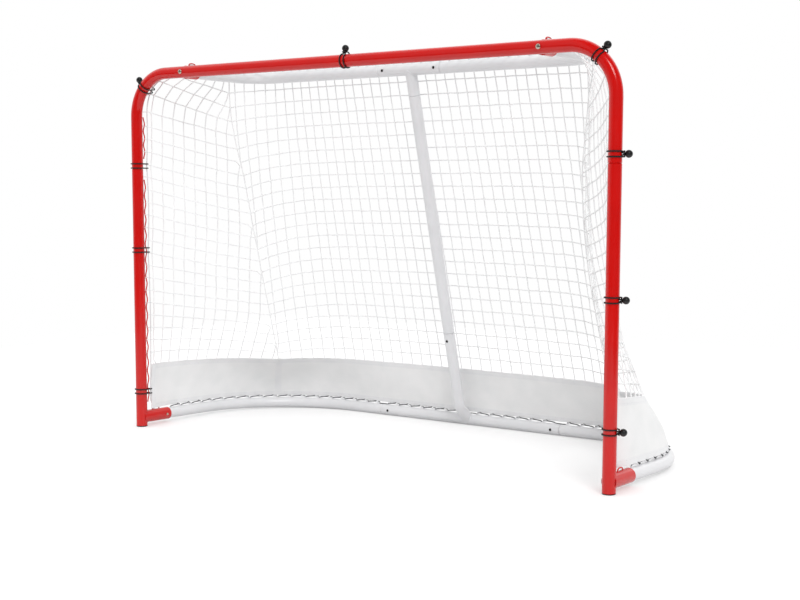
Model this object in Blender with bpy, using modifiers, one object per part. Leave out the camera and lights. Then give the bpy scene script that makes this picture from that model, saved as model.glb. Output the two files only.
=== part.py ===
"""Street hockey goal: a bolted frame of steel tube with a netting bag and a fabric skirt.

The mouth faces -Y and +Z is up. The origin lies on the ground, midway between the posts and
midway between the post line and the rear bar. Lengths are in metres.
"""
import math

import bmesh
import bpy
from mathutils import Matrix, Vector

# Overall size of the goal
GOAL_WIDTH = 1.8288
GOAL_HEIGHT = 1.2192
BASE_DEPTH = 0.700
SHELF_DEPTH = 0.340
SHELF_WIDTH = 1.340

# Steel tube
TUBE_DIAMETER = 0.038
TUBE_WALL = 0.0015
TUBE_SIDES = 16
TOP_BEND_RADIUS = 0.140
SHELF_BEND_RADIUS = 0.100
BASE_BEND_RADIUS = 0.400
SUPPORT_BEND_RADIUS = 0.060
TOP_BEND_STEPS = 5
SHELF_BEND_STEPS = 4
BASE_BEND_STEPS = 6

# Where the tubes part, and how far one slides into the next
UPPER_POST_LENGTH = 0.175
CROSSBAR_SEAM_X = 0.010
SHELF_SEAM_X = 0.120
BASE_SEAM_X = 0.368
SHELF_STUB_DROP = 0.080
SUPPORT_LOWER_SEAM_HEIGHT = 0.335
SWAGE_LENGTH = 0.060
SWAGE_SHOULDER = 0.002

# Clearances
GAP = 0.0003
SLIDE_CLEARANCE = 0.0003
SOCKET_CLEARANCE = 0.0005
HOLE_CLEARANCE = 0.0004

# Sockets behind the posts and behind the crossbar
BASE_SOCKET_HEIGHT = 0.033
BASE_SOCKET_LENGTH = 0.122
SHELF_SOCKET_LENGTH = 0.056
SHELF_SOCKET_PLUG = 0.008
SOCKET_WALL = 0.0015
EYELET_LENGTH = 0.030
EYELET_HEIGHT = 0.010
BASE_EYELET_SETBACK = 0.066
SHELF_EYELET_SETBACK = 0.038

# Support tube between the shelf and the rear base bar
SUPPORT_SLOPE = 0.268
SUPPORT_FOOT_HEIGHT = 0.070
SUPPORT_SCREW_HEIGHT = 0.310

# Plastic caps under the posts
FOOT_CAP_FLANGE = 0.0025
FOOT_CAP_PLUG = 0.016

# Bolts and screws
BOLT_HEAD_DIAMETER = 0.015
BOLT_HEAD_HEIGHT = 0.0045
BOLT_DIAMETER = 0.006
SCREW_HEAD_DIAMETER = 0.009
SCREW_HEAD_HEIGHT = 0.0025
SCREW_DIAMETER = 0.0045
SCREW_GRIP = 0.008
SHELF_SCREW_X = 0.100
BASE_SCREW_X = 0.337

# Sprung buttons that lock the base rails into their sockets
BUTTON_SETBACK = 0.101
BUTTON_DIAMETER = 0.008
BUTTON_FLANGE_DIAMETER = 0.0116
BUTTON_FLANGE_THICKNESS = 0.0015
BUTTON_PROUD = 0.003
BUTTON_SEAT = 0.0157
LEAF_WIDTH = 0.010
LEAF_THICKNESS = 0.0008
LEAF_LENGTH = 0.047

# Lacing rods: wavy wire welded along the tubes
ROD_DIAMETER = 0.004
ROD_PITCH = 0.054
ROD_WAVE = 0.004
POST_ROD_START = 0.085
POST_ROD_SEAM_MARGIN = 0.035
BASE_ROD_START = 0.115
BASE_ROD_SEAM_MARGIN = 0.018
SUPPORT_ROD_MARGIN = 0.034

# Elastic loops with a ball at the end
CORD_DIAMETER = 0.004
CORD_SPREAD = 0.0072
BALL_DIAMETER = 0.021
BALL_STANDOFF = 0.0068
EDGE_ROPE_DIAMETER = 0.005
LOOP_STEP = math.radians(38)
LACING_DIAMETER = 0.0025
LACING_WEAVE = 0.0047
LACING_DETOUR = 0.0085
LEFT_LOOP_SHARES = (0.735, 0.501)
RIGHT_LOOP_SHARES = (0.7465, 0.4305)
LEFT_LOW_LOOP_HEIGHT = 0.123
RIGHT_LOW_LOOP_HEIGHT = 0.170
LEFT_BALL_TURN = math.radians(135)
RIGHT_BALL_TURN = math.radians(15)
LEFT_CORNER_LOOP_TURN = math.radians(45)
RIGHT_CORNER_LOOP_TURN = math.radians(50)
CROSSBAR_LOOP_X = 0.0
CORNER_NET_SAG = 0.003
CORNER_LOOP_SLACK = 0.0014
CORNER_ROW_SHIFT = math.radians(1.8)

# Netting and skirt
NET_STRAND_WIDTH = 0.004
NET_STRAND_THICKNESS = 0.003
NET_ROW_SHARES = (0.2625, 0.361, 0.466, 0.566, 0.6645, 0.775, 0.8655)
NET_SIDE_COLUMNS = 4
NET_STRAIGHT_COLUMNS = 4
NET_BEND_COLUMNS = 3
NET_CREASE_X = 0.648
NET_CREASE_SPREAD = 0.042
NET_CREASE_LOW_Y = 0.125
NET_CREASE_HIGH_Y = -0.108
NET_CREASE_FADE = 0.320
NET_DROOP = 0.040
HEM_LEAD = 0.120
HEM_SEAM_TURN = math.radians(45)
NET_TOP_COLUMNS = 9
NET_TOP_ROWS = 3
NET_TOP_INSET = 0.012
NET_LEAN = math.radians(73)
SKIRT_FRONT_HEIGHT = 0.145
SKIRT_BACK_HEIGHT = 0.155
SKIRT_BULGE = 0.5
SKIRT_BULGE_FADE = 0.30
SKIRT_SEAM_BOW = 0.024
SKIRT_THICKNESS = 0.0012
SKIRT_ROWS = 2
SKIRT_BACK_COLUMNS = 24
SKIRT_SIDE_COLUMNS = 12
SKIRT_FOLD_DEPTH = 0.003
SKIRT_SLOT_HEIGHT = 0.026
SKIRT_SLOT_LENGTH = 0.014
SKIRT_SLOT_SETBACK = 0.0023

# Sizes that follow from the ones above
TUBE_R = TUBE_DIAMETER / 2
BORE_R = TUBE_R - TUBE_WALL
FACET = math.cos(math.pi / TUBE_SIDES)
FACET_TURN = math.pi / TUBE_SIDES
SWAGE_R = BORE_R * FACET - SLIDE_CLEARANCE
SOCKET_BORE_R = (TUBE_R + SOCKET_CLEARANCE) / FACET
SOCKET_R = SOCKET_BORE_R + SOCKET_WALL
ROD_R = ROD_DIAMETER / 2
CORD_R = CORD_DIAMETER / 2
ROPE_R = EDGE_ROPE_DIAMETER / 2
POST_X = GOAL_WIDTH / 2 - TUBE_R
SHELF_X = SHELF_WIDTH / 2
FRONT_Y = -BASE_DEPTH / 2
REAR_Y = BASE_DEPTH / 2
SHELF_Y = FRONT_Y + SHELF_DEPTH
TOP_Z = GOAL_HEIGHT - TUBE_R
POST_SEAM_HEIGHT = TOP_Z - TOP_BEND_RADIUS - UPPER_POST_LENGTH
SUPPORT_UPPER_SEAM_HEIGHT = TOP_Z - SHELF_STUB_DROP
LEFT_LOOP_HEIGHTS = [GOAL_HEIGHT * share for share in LEFT_LOOP_SHARES] + [LEFT_LOW_LOOP_HEIGHT]
RIGHT_LOOP_HEIGHTS = [GOAL_HEIGHT * share for share in RIGHT_LOOP_SHARES] + [RIGHT_LOW_LOOP_HEIGHT]
NET_ROW_HEIGHTS = [GOAL_HEIGHT * share for share in NET_ROW_SHARES]
BASE_Z = TUBE_R * FACET
POST_FOOT_Z = FOOT_CAP_FLANGE + GAP
ROD_TROUGH = TUBE_R + GAP + ROD_R
ROD_CREST = ROD_TROUGH + ROD_WAVE + ROD_R
POST_ROPE_REACH = ROD_CREST + GAP + ROPE_R
BAR_ROPE_REACH = TUBE_R + GAP + ROPE_R
HEM_RISE = max(ROD_CREST, SOCKET_R) + 2 * GAP
NET_REACH = SOCKET_R + GAP + NET_STRAND_WIDTH / 2
NET_TOP_REACH = SOCKET_R + GAP + NET_STRAND_THICKNESS / 2
NET_SKIRT_TOP_Z = BASE_Z + HEM_RISE + SKIRT_BACK_HEIGHT
UP = Vector((0, 0, 1))
BACK = Vector((0, 1, 0))
SIDES = (("left", -1), ("right", 1))


for leftover in list(bpy.data.objects):
    bpy.data.objects.remove(leftover, do_unlink=True)
goal_collection = bpy.data.collections.new("street_hockey_goal")
bpy.context.scene.collection.children.link(goal_collection)
tool_collection = bpy.data.collections.new("cutters_and_welds")
bpy.context.scene.collection.children.link(tool_collection)


def make_material(name, colour, roughness, metallic):
    material = bpy.data.materials.new(name)
    material.use_nodes = True
    shader = material.node_tree.nodes["Principled BSDF"]
    shader.inputs["Base Color"].default_value = (*colour, 1.0)
    shader.inputs["Roughness"].default_value = roughness
    shader.inputs["Metallic"].default_value = metallic
    return material


RED_ENAMEL = ((0.60, 0.010, 0.008), 0.22, 0.0)
WHITE_ENAMEL = ((0.82, 0.82, 0.82), 0.30, 0.0)
ZINC = ((0.66, 0.62, 0.55), 0.32, 1.0)
BLACK_STEEL = ((0.05, 0.05, 0.05), 0.45, 1.0)
SPRING_STEEL = ((0.45, 0.45, 0.47), 0.35, 1.0)
BLACK_PLASTIC = ((0.015, 0.015, 0.016), 0.40, 0.0)
BLACK_CORD = ((0.012, 0.012, 0.013), 0.70, 0.0)
WHITE_TWINE = ((0.80, 0.80, 0.80), 0.75, 0.0)
GREY_CORD = ((0.25, 0.25, 0.26), 0.75, 0.0)
WHITE_FABRIC = ((0.78, 0.78, 0.79), 0.80, 0.0)


def place(name, mesh, finish=None, matrix=None):
    """Make an object of the goal, or a hidden tool object when it has no finish."""
    item = bpy.data.objects.new(name, mesh)
    if matrix is not None:
        item.matrix_world = matrix
    if finish is None:
        item.hide_render = True
        item.display_type = "WIRE"
        tool_collection.objects.link(item)
        return item
    mesh.materials.clear()
    mesh.materials.append(make_material(name, *finish))
    goal_collection.objects.link(item)
    return item


def smooth(mesh):
    mesh.shade_smooth()
    mesh.set_sharp_from_angle(angle=math.radians(40))
    return mesh


def combine(target, tool, operation):
    step = target.modifiers.new(tool.name, "BOOLEAN")
    step.operation = operation
    step.solver = "EXACT"
    step.object = tool


def sweep(name, points, radius, sides, scales=None, capped=True, turn=0.0):
    """A tube of the given radius along the points, as a mesh."""
    curve = bpy.data.curves.new(name, "CURVE")
    curve.dimensions = "3D"
    curve.bevel_depth = radius
    curve.bevel_resolution = (sides - 4) // 2
    curve.use_fill_caps = capped
    spline = curve.splines.new("POLY")
    spline.points.add(len(points) - 1)
    for index, point in enumerate(points):
        spline.points[index].co = (*point, 1.0)
        spline.points[index].radius = scales[index] if scales else 1.0
        spline.points[index].tilt = turn
    holder = bpy.data.objects.new(name, curve)
    tool_collection.objects.link(holder)
    evaluated = holder.evaluated_get(bpy.context.evaluated_depsgraph_get())
    mesh = bpy.data.meshes.new_from_object(evaluated)
    bpy.data.objects.remove(holder)
    bpy.data.curves.remove(curve)
    form = bmesh.new()
    form.from_mesh(mesh)
    bmesh.ops.remove_doubles(form, verts=form.verts, dist=0.00002)
    bmesh.ops.recalc_face_normals(form, faces=form.faces)
    form.to_mesh(mesh)
    form.free()
    return smooth(mesh)


def rod_between(name, start, end, radius, sides=TUBE_SIDES, finish=None, turn=FACET_TURN):
    """A solid bar with flat ends, as an object."""
    form = bmesh.new()
    length = (end - start).length
    bmesh.ops.create_cone(
        form, cap_ends=True, segments=sides, radius1=radius, radius2=radius, depth=length)
    bmesh.ops.rotate(form, verts=form.verts, matrix=Matrix.Rotation(turn, 3, "Z"))
    mesh = bpy.data.meshes.new(name)
    form.to_mesh(mesh)
    form.free()
    heading = (end - start).to_track_quat("Z", "Y").to_matrix().to_4x4()
    return place(name, smooth(mesh), finish, Matrix.Translation((start + end) / 2) @ heading)


def turned(name, profile, steps, origin, heading, finish):
    """A turned piece: the profile is (radius, height) from its top centre to its bottom centre."""
    mesh = bpy.data.meshes.new(name)
    corners = [(radius, 0.0, height) for radius, height in profile]
    edges = [(index, index + 1) for index in range(len(profile) - 1)]
    mesh.from_pydata(corners, edges, [])
    matrix = Matrix.Translation(origin) @ heading.to_track_quat("Z", "Y").to_matrix().to_4x4()
    item = place(name, mesh, finish, matrix)
    screw = item.modifiers.new("turn", "SCREW")
    screw.axis = "Z"
    screw.steps = steps
    screw.render_steps = steps
    screw.use_merge_vertices = True
    screw.merge_threshold = 0.00002
    screw.use_smooth_shade = True
    return item


def rounded_path(corners, radius, steps):
    """The corner points with an arc of the given radius at each inner corner."""
    path = [corners[0]]
    for before, corner, after in zip(corners, corners[1:], corners[2:]):
        back = (before - corner).normalized()
        ahead = (after - corner).normalized()
        half = back.angle(ahead) / 2
        start = corner + back * radius / math.tan(half)
        centre = corner + (back + ahead).normalized() * radius / math.sin(half)
        axis = back.cross(ahead)
        sweep_angle = 2 * half - math.pi
        for step in range(steps + 1):
            turn = Matrix.Rotation(sweep_angle * step / steps, 3, axis)
            path.append(centre + turn @ (start - centre))
    path.append(corners[-1])
    return path


def swaged(path):
    """The path with a drawn-in end: a shoulder, then a narrower length that slides inside."""
    ahead = (path[-1] - path[-2]).normalized()
    tip = [path[-1] - ahead * SWAGE_SHOULDER, path[-1], path[-1] + ahead * SWAGE_LENGTH]
    narrow = SWAGE_R / TUBE_R
    return path[:-1] + tip, [1.0] * len(path) + [narrow, narrow]


def swaged_start(path, scales):
    """The same drawn-in end at the start of a path."""
    narrow = SWAGE_R / TUBE_R
    path = swaged(path[::-1])[0]
    return path[::-1], [narrow, narrow, 1.0] + scales[1:]


def steel_tube(name, path, finish, scales=None):
    """A hollow tube along the path, open at both ends."""
    mesh = sweep(name, path, TUBE_R, TUBE_SIDES, scales, capped=False, turn=FACET_TURN)
    item = place(name, mesh, finish)
    wall = item.modifiers.new("wall", "SOLIDIFY")
    wall.thickness = TUBE_WALL
    wall.offset = -1.0
    wall.use_rim = True
    return item


class Route:
    """A line through points that is read by the distance travelled along it."""

    def __init__(self, points):
        self.points = points
        self.marks = [0.0]
        for before, after in zip(points, points[1:]):
            self.marks.append(self.marks[-1] + (after - before).length)
        self.length = self.marks[-1]

    def at(self, distance):
        for index in range(1, len(self.points)):
            if distance <= self.marks[index] or index == len(self.points) - 1:
                span = self.marks[index] - self.marks[index - 1]
                share = (distance - self.marks[index - 1]) / span
                return self.points[index - 1].lerp(self.points[index], share)

    def heading(self, distance):
        step = 0.002
        return (self.at(distance + step) - self.at(distance - step)).normalized()


def base_height(y):
    """Height of the base tube's axis: it slopes from the sockets down to the rear bar."""
    share = (y - FRONT_Y) / BASE_DEPTH
    return BASE_SOCKET_HEIGHT + (BASE_Z - BASE_SOCKET_HEIGHT) * share


def base_point(x, y):
    return Vector((x, y, base_height(y)))


def support_point(z):
    """The straight upper part of the support tube's axis at a height."""
    return Vector((0, SHELF_Y + SUPPORT_SLOPE * (TOP_Z - z), z))


# Front frame: two bent crossbar halves on two posts


def crossbar_bolt_point(side):
    return Vector((side * SHELF_X, FRONT_Y, TOP_Z))


def make_upper_corners():
    for label, side in SIDES:
        seam_x = CROSSBAR_SEAM_X - GAP / 2 if side < 0 else CROSSBAR_SEAM_X + GAP / 2
        corners = [
            Vector((seam_x, FRONT_Y, TOP_Z)),
            Vector((side * POST_X, FRONT_Y, TOP_Z)),
            Vector((side * POST_X, FRONT_Y, POST_SEAM_HEIGHT + GAP / 2)),
        ]
        path, scales = swaged(rounded_path(corners, TOP_BEND_RADIUS, TOP_BEND_STEPS))
        if side > 0:
            path, scales = swaged_start(path, scales)
        tube = steel_tube(f"upper_corner_{label}", path, RED_ENAMEL, scales)
        centre = crossbar_bolt_point(side)
        hole = rod_between(
            f"crossbar_bolt_hole_{label}", centre - BACK * 2 * TUBE_R, centre + BACK * 2 * TUBE_R,
            BOLT_DIAMETER / 2 + HOLE_CLEARANCE, sides=8)
        combine(tube, hole, "DIFFERENCE")


def eyelet(name, foot, along, rise):
    """A low arch of wire whose feet are welded into the tube below it."""
    half = EYELET_LENGTH / 2
    points = [
        foot - along * half - rise * ROD_R,
        foot - along * half * 0.75 + rise * EYELET_HEIGHT * 0.6,
        foot - along * half * 0.3 + rise * (EYELET_HEIGHT - ROD_R),
        foot + along * half * 0.3 + rise * (EYELET_HEIGHT - ROD_R),
        foot + along * half * 0.75 + rise * EYELET_HEIGHT * 0.6,
        foot + along * half - rise * ROD_R,
    ]
    return place(name, sweep(name, points, ROD_R, 6))


def base_axis_direction():
    return (base_point(POST_X, REAR_Y) - base_point(POST_X, FRONT_Y)).normalized()


def make_lower_posts():
    along = base_axis_direction()
    for label, side in SIDES:
        bottom = Vector((side * POST_X, FRONT_Y, POST_FOOT_Z))
        top = Vector((side * POST_X, FRONT_Y, POST_SEAM_HEIGHT - GAP / 2))
        post = rod_between(f"lower_post_{label}", bottom, top, TUBE_R, finish=RED_ENAMEL)
        socket_start = base_point(side * POST_X, FRONT_Y)
        socket_end = socket_start + along * BASE_SOCKET_LENGTH
        socket = rod_between(f"base_socket_{label}", socket_start, socket_end, SOCKET_R)
        combine(post, socket, "UNION")
        rise = along.cross(Vector((-1, 0, 0)))
        foot = socket_start + along * BASE_EYELET_SETBACK + rise * SOCKET_R * FACET
        combine(post, eyelet(f"base_eyelet_{label}", foot, along, rise), "UNION")
        bore = rod_between(
            f"post_bore_{label}", bottom - UP * TUBE_R, top + UP * TUBE_R, BORE_R)
        combine(post, bore, "DIFFERENCE")
        mouth = rod_between(
            f"base_socket_bore_{label}", socket_start + along * (TUBE_R + GAP),
            socket_end + along * TUBE_R, SOCKET_BORE_R)
        combine(post, mouth, "DIFFERENCE")
        combine(post, button_hole(label, side, "socket"), "DIFFERENCE")


def make_foot_caps():
    plug_r = BORE_R * FACET - SLIDE_CLEARANCE
    for label, side in SIDES:
        profile = [
            (0.0, FOOT_CAP_FLANGE + GAP + FOOT_CAP_PLUG),
            (plug_r - 0.001, FOOT_CAP_FLANGE + GAP + FOOT_CAP_PLUG),
            (plug_r, FOOT_CAP_FLANGE + FOOT_CAP_PLUG - 0.001),
            (plug_r, FOOT_CAP_FLANGE),
            (TUBE_R, FOOT_CAP_FLANGE),
            (TUBE_R, 0.0),
            (0.0, 0.0),
        ]
        origin = Vector((side * POST_X, FRONT_Y, 0))
        turned(f"foot_cap_{label}", profile, TUBE_SIDES, origin, UP, BLACK_PLASTIC)


# Shelf behind the crossbar: two sockets, two bent rails and a middle tee


def make_shelf_sockets():
    for label, side in SIDES:
        centre = crossbar_bolt_point(side)
        socket = rod_between(
            f"shelf_socket_{label}", centre + BACK * TUBE_R * 0.4,
            centre + BACK * SHELF_SOCKET_LENGTH, SOCKET_R, finish=RED_ENAMEL)
        foot = centre + BACK * SHELF_EYELET_SETBACK + UP * SOCKET_R * FACET
        combine(socket, eyelet(f"shelf_eyelet_{label}", foot, BACK, UP), "UNION")
        across = Vector((TUBE_DIAMETER, 0, 0))
        saddle = rod_between(
            f"crossbar_saddle_{label}", centre - across, centre + across, (TUBE_R + GAP) / FACET)
        combine(socket, saddle, "DIFFERENCE")
        plug_end = TUBE_R + GAP + SHELF_SOCKET_PLUG
        bore = rod_between(
            f"shelf_socket_bore_{label}", centre + BACK * plug_end,
            centre + BACK * 2 * SHELF_SOCKET_LENGTH, SOCKET_BORE_R)
        combine(socket, bore, "DIFFERENCE")
        hole = rod_between(
            f"shelf_socket_hole_{label}", centre, centre + BACK * (plug_end + TUBE_R),
            BOLT_DIAMETER / 2 + HOLE_CLEARANCE, sides=8)
        combine(socket, hole, "DIFFERENCE")


def dome(diameter, height, steps=3):
    """Profile of a rounded head, from its centre out to its rim."""
    profile = []
    for step in range(steps + 1):
        angle = math.pi / 2 * step / steps
        profile.append((diameter / 2 * math.sin(angle), height * math.cos(angle)))
    return profile


def make_crossbar_bolts():
    shank = 2 * TUBE_R + GAP + SHELF_SOCKET_PLUG
    profile = dome(BOLT_HEAD_DIAMETER, BOLT_HEAD_HEIGHT)
    profile += [(BOLT_DIAMETER / 2, 0.0), (BOLT_DIAMETER / 2, -shank), (0.0, -shank)]
    for label, side in SIDES:
        seat = crossbar_bolt_point(side) - BACK * (TUBE_R + GAP)
        turned(f"crossbar_bolt_{label}", profile, 12, seat, -BACK, ZINC)


def make_shelf_corners():
    start_y = FRONT_Y + TUBE_R + SHELF_SOCKET_PLUG + 2 * GAP
    for label, side in SIDES:
        corners = [
            Vector((side * SHELF_X, start_y, TOP_Z)),
            Vector((side * SHELF_X, SHELF_Y, TOP_Z)),
            Vector((side * (SHELF_SEAM_X + GAP / 2), SHELF_Y, TOP_Z)),
        ]
        path, scales = swaged(rounded_path(corners, SHELF_BEND_RADIUS, SHELF_BEND_STEPS))
        tube = steel_tube(f"shelf_corner_{label}", path, WHITE_ENAMEL, scales)
        combine(tube, screw_hole(f"shelf_corner_{label}", shelf_screw_point(side), BACK), "DIFFERENCE")


def shelf_screw_point(side):
    return Vector((side * SHELF_SCREW_X, SHELF_Y, TOP_Z))


def base_screw_point(side):
    return Vector((side * BASE_SCREW_X, REAR_Y, BASE_Z))


def support_screw_point():
    return support_point(SUPPORT_SCREW_HEIGHT)


def support_screw_heading():
    slope = (support_point(1.0) - support_point(0.0)).normalized()
    return Vector((1, 0, 0)).cross(slope) * -1


def screw_hole(name, centre, inward):
    """A hole through the near wall of a tube, from outside to its axis."""
    return rod_between(
        f"screw_hole_{name}", centre - inward * 2 * TUBE_R, centre,
        SCREW_DIAMETER / 2 + HOLE_CLEARANCE, sides=8)


def make_screw(name, centre, inward):
    seat = centre - inward * (TUBE_R + GAP)
    profile = dome(SCREW_HEAD_DIAMETER, SCREW_HEAD_HEIGHT, 2)
    profile += [(SCREW_DIAMETER / 2, 0.0), (SCREW_DIAMETER / 2, -SCREW_GRIP), (0.0, -SCREW_GRIP)]
    turned(name, profile, 8, seat, -inward, BLACK_STEEL)


def tee(name, bar_start, bar_end, stub_path, finish, weld_name):
    """A crosspiece with a stub welded into its side, both bored out."""
    bar = rod_between(name, bar_start, bar_end, TUBE_R, finish=finish)
    stub = place(weld_name, sweep(weld_name, stub_path, TUBE_R, TUBE_SIDES, turn=FACET_TURN))
    combine(bar, stub, "UNION")
    ahead = (bar_end - bar_start).normalized() * TUBE_R
    bar_bore = rod_between(f"{name}_bore", bar_start - ahead, bar_end + ahead, BORE_R)
    combine(bar, bar_bore, "DIFFERENCE")
    outward = (stub_path[-1] - stub_path[-2]).normalized() * TUBE_R
    bore_path = stub_path[:-1] + [stub_path[-1] + outward]
    stub_bore = place(
        f"{weld_name}_bore", sweep(f"{weld_name}_bore", bore_path, BORE_R, TUBE_SIDES, turn=FACET_TURN))
    combine(bar, stub_bore, "DIFFERENCE")
    return bar


def make_shelf_middle():
    edge = SHELF_SEAM_X - GAP / 2
    bar_start = Vector((-edge, SHELF_Y, TOP_Z))
    bar_end = Vector((edge, SHELF_Y, TOP_Z))
    stub_path = [support_point(TOP_Z), support_point(SUPPORT_UPPER_SEAM_HEIGHT + GAP / 2)]
    item = tee("shelf_middle", bar_start, bar_end, stub_path, WHITE_ENAMEL, "shelf_stub")
    for label, side in SIDES:
        hole = screw_hole(f"shelf_middle_{label}", shelf_screw_point(side), BACK)
        combine(item, hole, "DIFFERENCE")


# Support tube and base


def support_foot_path():
    """The lower stub: out of the rear bar towards the front, then up along the support."""
    rear = Vector((0, REAR_Y, BASE_Z))
    knee = support_point(SUPPORT_FOOT_HEIGHT)
    top = support_point(SUPPORT_LOWER_SEAM_HEIGHT - GAP / 2)
    return rounded_path([rear, knee, top], SUPPORT_BEND_RADIUS, 3)


def make_support():
    top = support_point(SUPPORT_UPPER_SEAM_HEIGHT - GAP / 2)
    bottom = support_point(SUPPORT_LOWER_SEAM_HEIGHT + GAP / 2)
    path, scales = swaged([top, bottom])
    path, scales = swaged_start(path, scales)
    tube = steel_tube("support_upper", path, WHITE_ENAMEL, scales)
    hole = screw_hole("support_upper", support_screw_point(), support_screw_heading())
    combine(tube, hole, "DIFFERENCE")


def make_base_middle():
    edge = BASE_SEAM_X - GAP / 2
    bar_start = Vector((-edge, REAR_Y, BASE_Z))
    bar_end = Vector((edge, REAR_Y, BASE_Z))
    item = tee("base_middle", bar_start, bar_end, support_foot_path(), WHITE_ENAMEL, "support_stub")
    hole = screw_hole("support_stub", support_screw_point(), support_screw_heading())
    combine(item, hole, "DIFFERENCE")
    for label, side in SIDES:
        hole = screw_hole(f"base_middle_{label}", base_screw_point(side), BACK)
        combine(item, hole, "DIFFERENCE")


def base_rail_corners(side):
    start_y = FRONT_Y + TUBE_R + 4 * GAP
    return [
        base_point(side * POST_X, start_y),
        base_point(side * POST_X, REAR_Y),
        Vector((side * (BASE_SEAM_X + GAP / 2), REAR_Y, BASE_Z)),
    ]


def make_base_corners():
    for label, side in SIDES:
        path, scales = swaged(rounded_path(base_rail_corners(side), BASE_BEND_RADIUS, BASE_BEND_STEPS))
        tube = steel_tube(f"base_corner_{label}", path, WHITE_ENAMEL, scales)
        hole = screw_hole(f"base_corner_{label}", base_screw_point(side), BACK)
        combine(tube, hole, "DIFFERENCE")
        combine(tube, button_hole(label, side, "rail"), "DIFFERENCE")


# Snap buttons on leaf springs inside the base rails


def button_centre(side):
    return base_point(side * POST_X, FRONT_Y + BUTTON_SETBACK)


def button_hole(label, side, wall):
    centre = button_centre(side)
    inward = Vector((-side, 0, 0))
    return rod_between(
        f"button_hole_{wall}_{label}", centre, centre + inward * 2 * TUBE_R,
        BUTTON_DIAMETER / 2 + HOLE_CLEARANCE, sides=8)


def make_snap_buttons():
    tip = SOCKET_R + BUTTON_PROUD
    shoulder = BUTTON_SEAT
    radius = BUTTON_DIAMETER / 2
    profile = [
        (0.0, tip),
        (radius * 0.6, tip - 0.0004),
        (radius, tip - 0.0016),
        (radius, shoulder),
        (BUTTON_FLANGE_DIAMETER / 2, shoulder),
        (BUTTON_FLANGE_DIAMETER / 2, shoulder - BUTTON_FLANGE_THICKNESS),
        (0.0, shoulder - BUTTON_FLANGE_THICKNESS),
    ]
    for label, side in SIDES:
        inward = Vector((-side, 0, 0))
        turned(f"snap_button_{label}", profile, 10, button_centre(side), inward, ZINC)


def make_snap_springs():
    near = BUTTON_SEAT - BUTTON_FLANGE_THICKNESS - GAP - LEAF_THICKNESS / 2
    far = math.sqrt((BORE_R * FACET - GAP) ** 2 - (LEAF_WIDTH / 2) ** 2) - LEAF_THICKNESS
    outline = [
        (near, -0.010),
        (near, 0.008),
        (near * 0.55, LEAF_LENGTH * 0.82),
        (near * 0.15, LEAF_LENGTH * 0.97),
        (-near * 0.25, LEAF_LENGTH),
        (-far * 0.62, LEAF_LENGTH * 0.85),
        (-far, LEAF_LENGTH * 0.35),
        (-far, 0.0),
    ]
    for label, side in SIDES:
        inward = Vector((-side, 0, 0))
        centre = button_centre(side)
        form = bmesh.new()
        lower = [form.verts.new(centre + inward * x + BACK * y - UP * LEAF_WIDTH / 2) for x, y in outline]
        edges = [form.edges.new(pair) for pair in zip(lower, lower[1:])]
        raised = bmesh.ops.extrude_edge_only(form, edges=edges)["geom"]
        upper = [part for part in raised if isinstance(part, bmesh.types.BMVert)]
        bmesh.ops.translate(form, verts=upper, vec=UP * LEAF_WIDTH)
        bmesh.ops.recalc_face_normals(form, faces=form.faces)
        name = f"snap_spring_{label}"
        mesh = bpy.data.meshes.new(name)
        form.to_mesh(mesh)
        form.free()
        leaf = place(name, mesh, SPRING_STEEL)
        leaf.data.shade_smooth()
        thick = leaf.modifiers.new("leaf", "SOLIDIFY")
        thick.thickness = LEAF_THICKNESS
        thick.offset = 0.0


# Lacing rods


def wave_marks(start, end):
    """Distances of the troughs, where a wavy rod touches its tube."""
    waves = max(1, round((end - start) / ROD_PITCH))
    return [start + (end - start) * wave / waves for wave in range(waves + 1)]


def wavy_rod(name, route, start, end, rise, finish):
    """Wavy wire on a tube: its troughs touch the tube and its crests stand off it."""
    waves = len(wave_marks(start, end)) - 1
    pitch = (end - start) / waves
    points = []
    for wave in range(waves):
        for share, lifted in ((0.0, 0), (0.35, 1), (0.65, 1)):
            distance = start + pitch * (wave + share)
            points.append(route.at(distance) + rise * (ROD_TROUGH + ROD_WAVE * lifted))
    points.append(route.at(end) + rise * ROD_TROUGH)
    place(name, sweep(name, points, ROD_R, 4), finish)


def make_post_rods():
    for label, side in SIDES:
        rise = (Vector((-side, 0, 0)) + BACK).normalized()
        axis = Route([Vector((side * POST_X, FRONT_Y, 0)), Vector((side * POST_X, FRONT_Y, TOP_Z))])
        wavy_rod(
            f"post_rod_lower_{label}", axis, POST_ROD_START,
            POST_SEAM_HEIGHT - POST_ROD_SEAM_MARGIN, rise, RED_ENAMEL)
        wavy_rod(
            f"post_rod_upper_{label}", axis, POST_SEAM_HEIGHT + POST_ROD_SEAM_MARGIN,
            TOP_Z - TOP_BEND_RADIUS, rise, RED_ENAMEL)


def base_rail_route(side):
    return Route(rounded_path(base_rail_corners(side), BASE_BEND_RADIUS, BASE_BEND_STEPS * 2))


def base_bar_route(side):
    return Route([Vector((0, REAR_Y, BASE_Z)), Vector((side * BASE_SEAM_X, REAR_Y, BASE_Z))])


def make_base_rods():
    for label, side in SIDES:
        rail = base_rail_route(side)
        wavy_rod(
            f"base_rod_corner_{label}", rail, BASE_ROD_START,
            rail.length - BASE_ROD_SEAM_MARGIN, UP, WHITE_ENAMEL)
        bar = base_bar_route(side)
        wavy_rod(
            f"base_rod_middle_{label}", bar, SUPPORT_ROD_MARGIN,
            bar.length - BASE_ROD_SEAM_MARGIN, UP, WHITE_ENAMEL)


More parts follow.
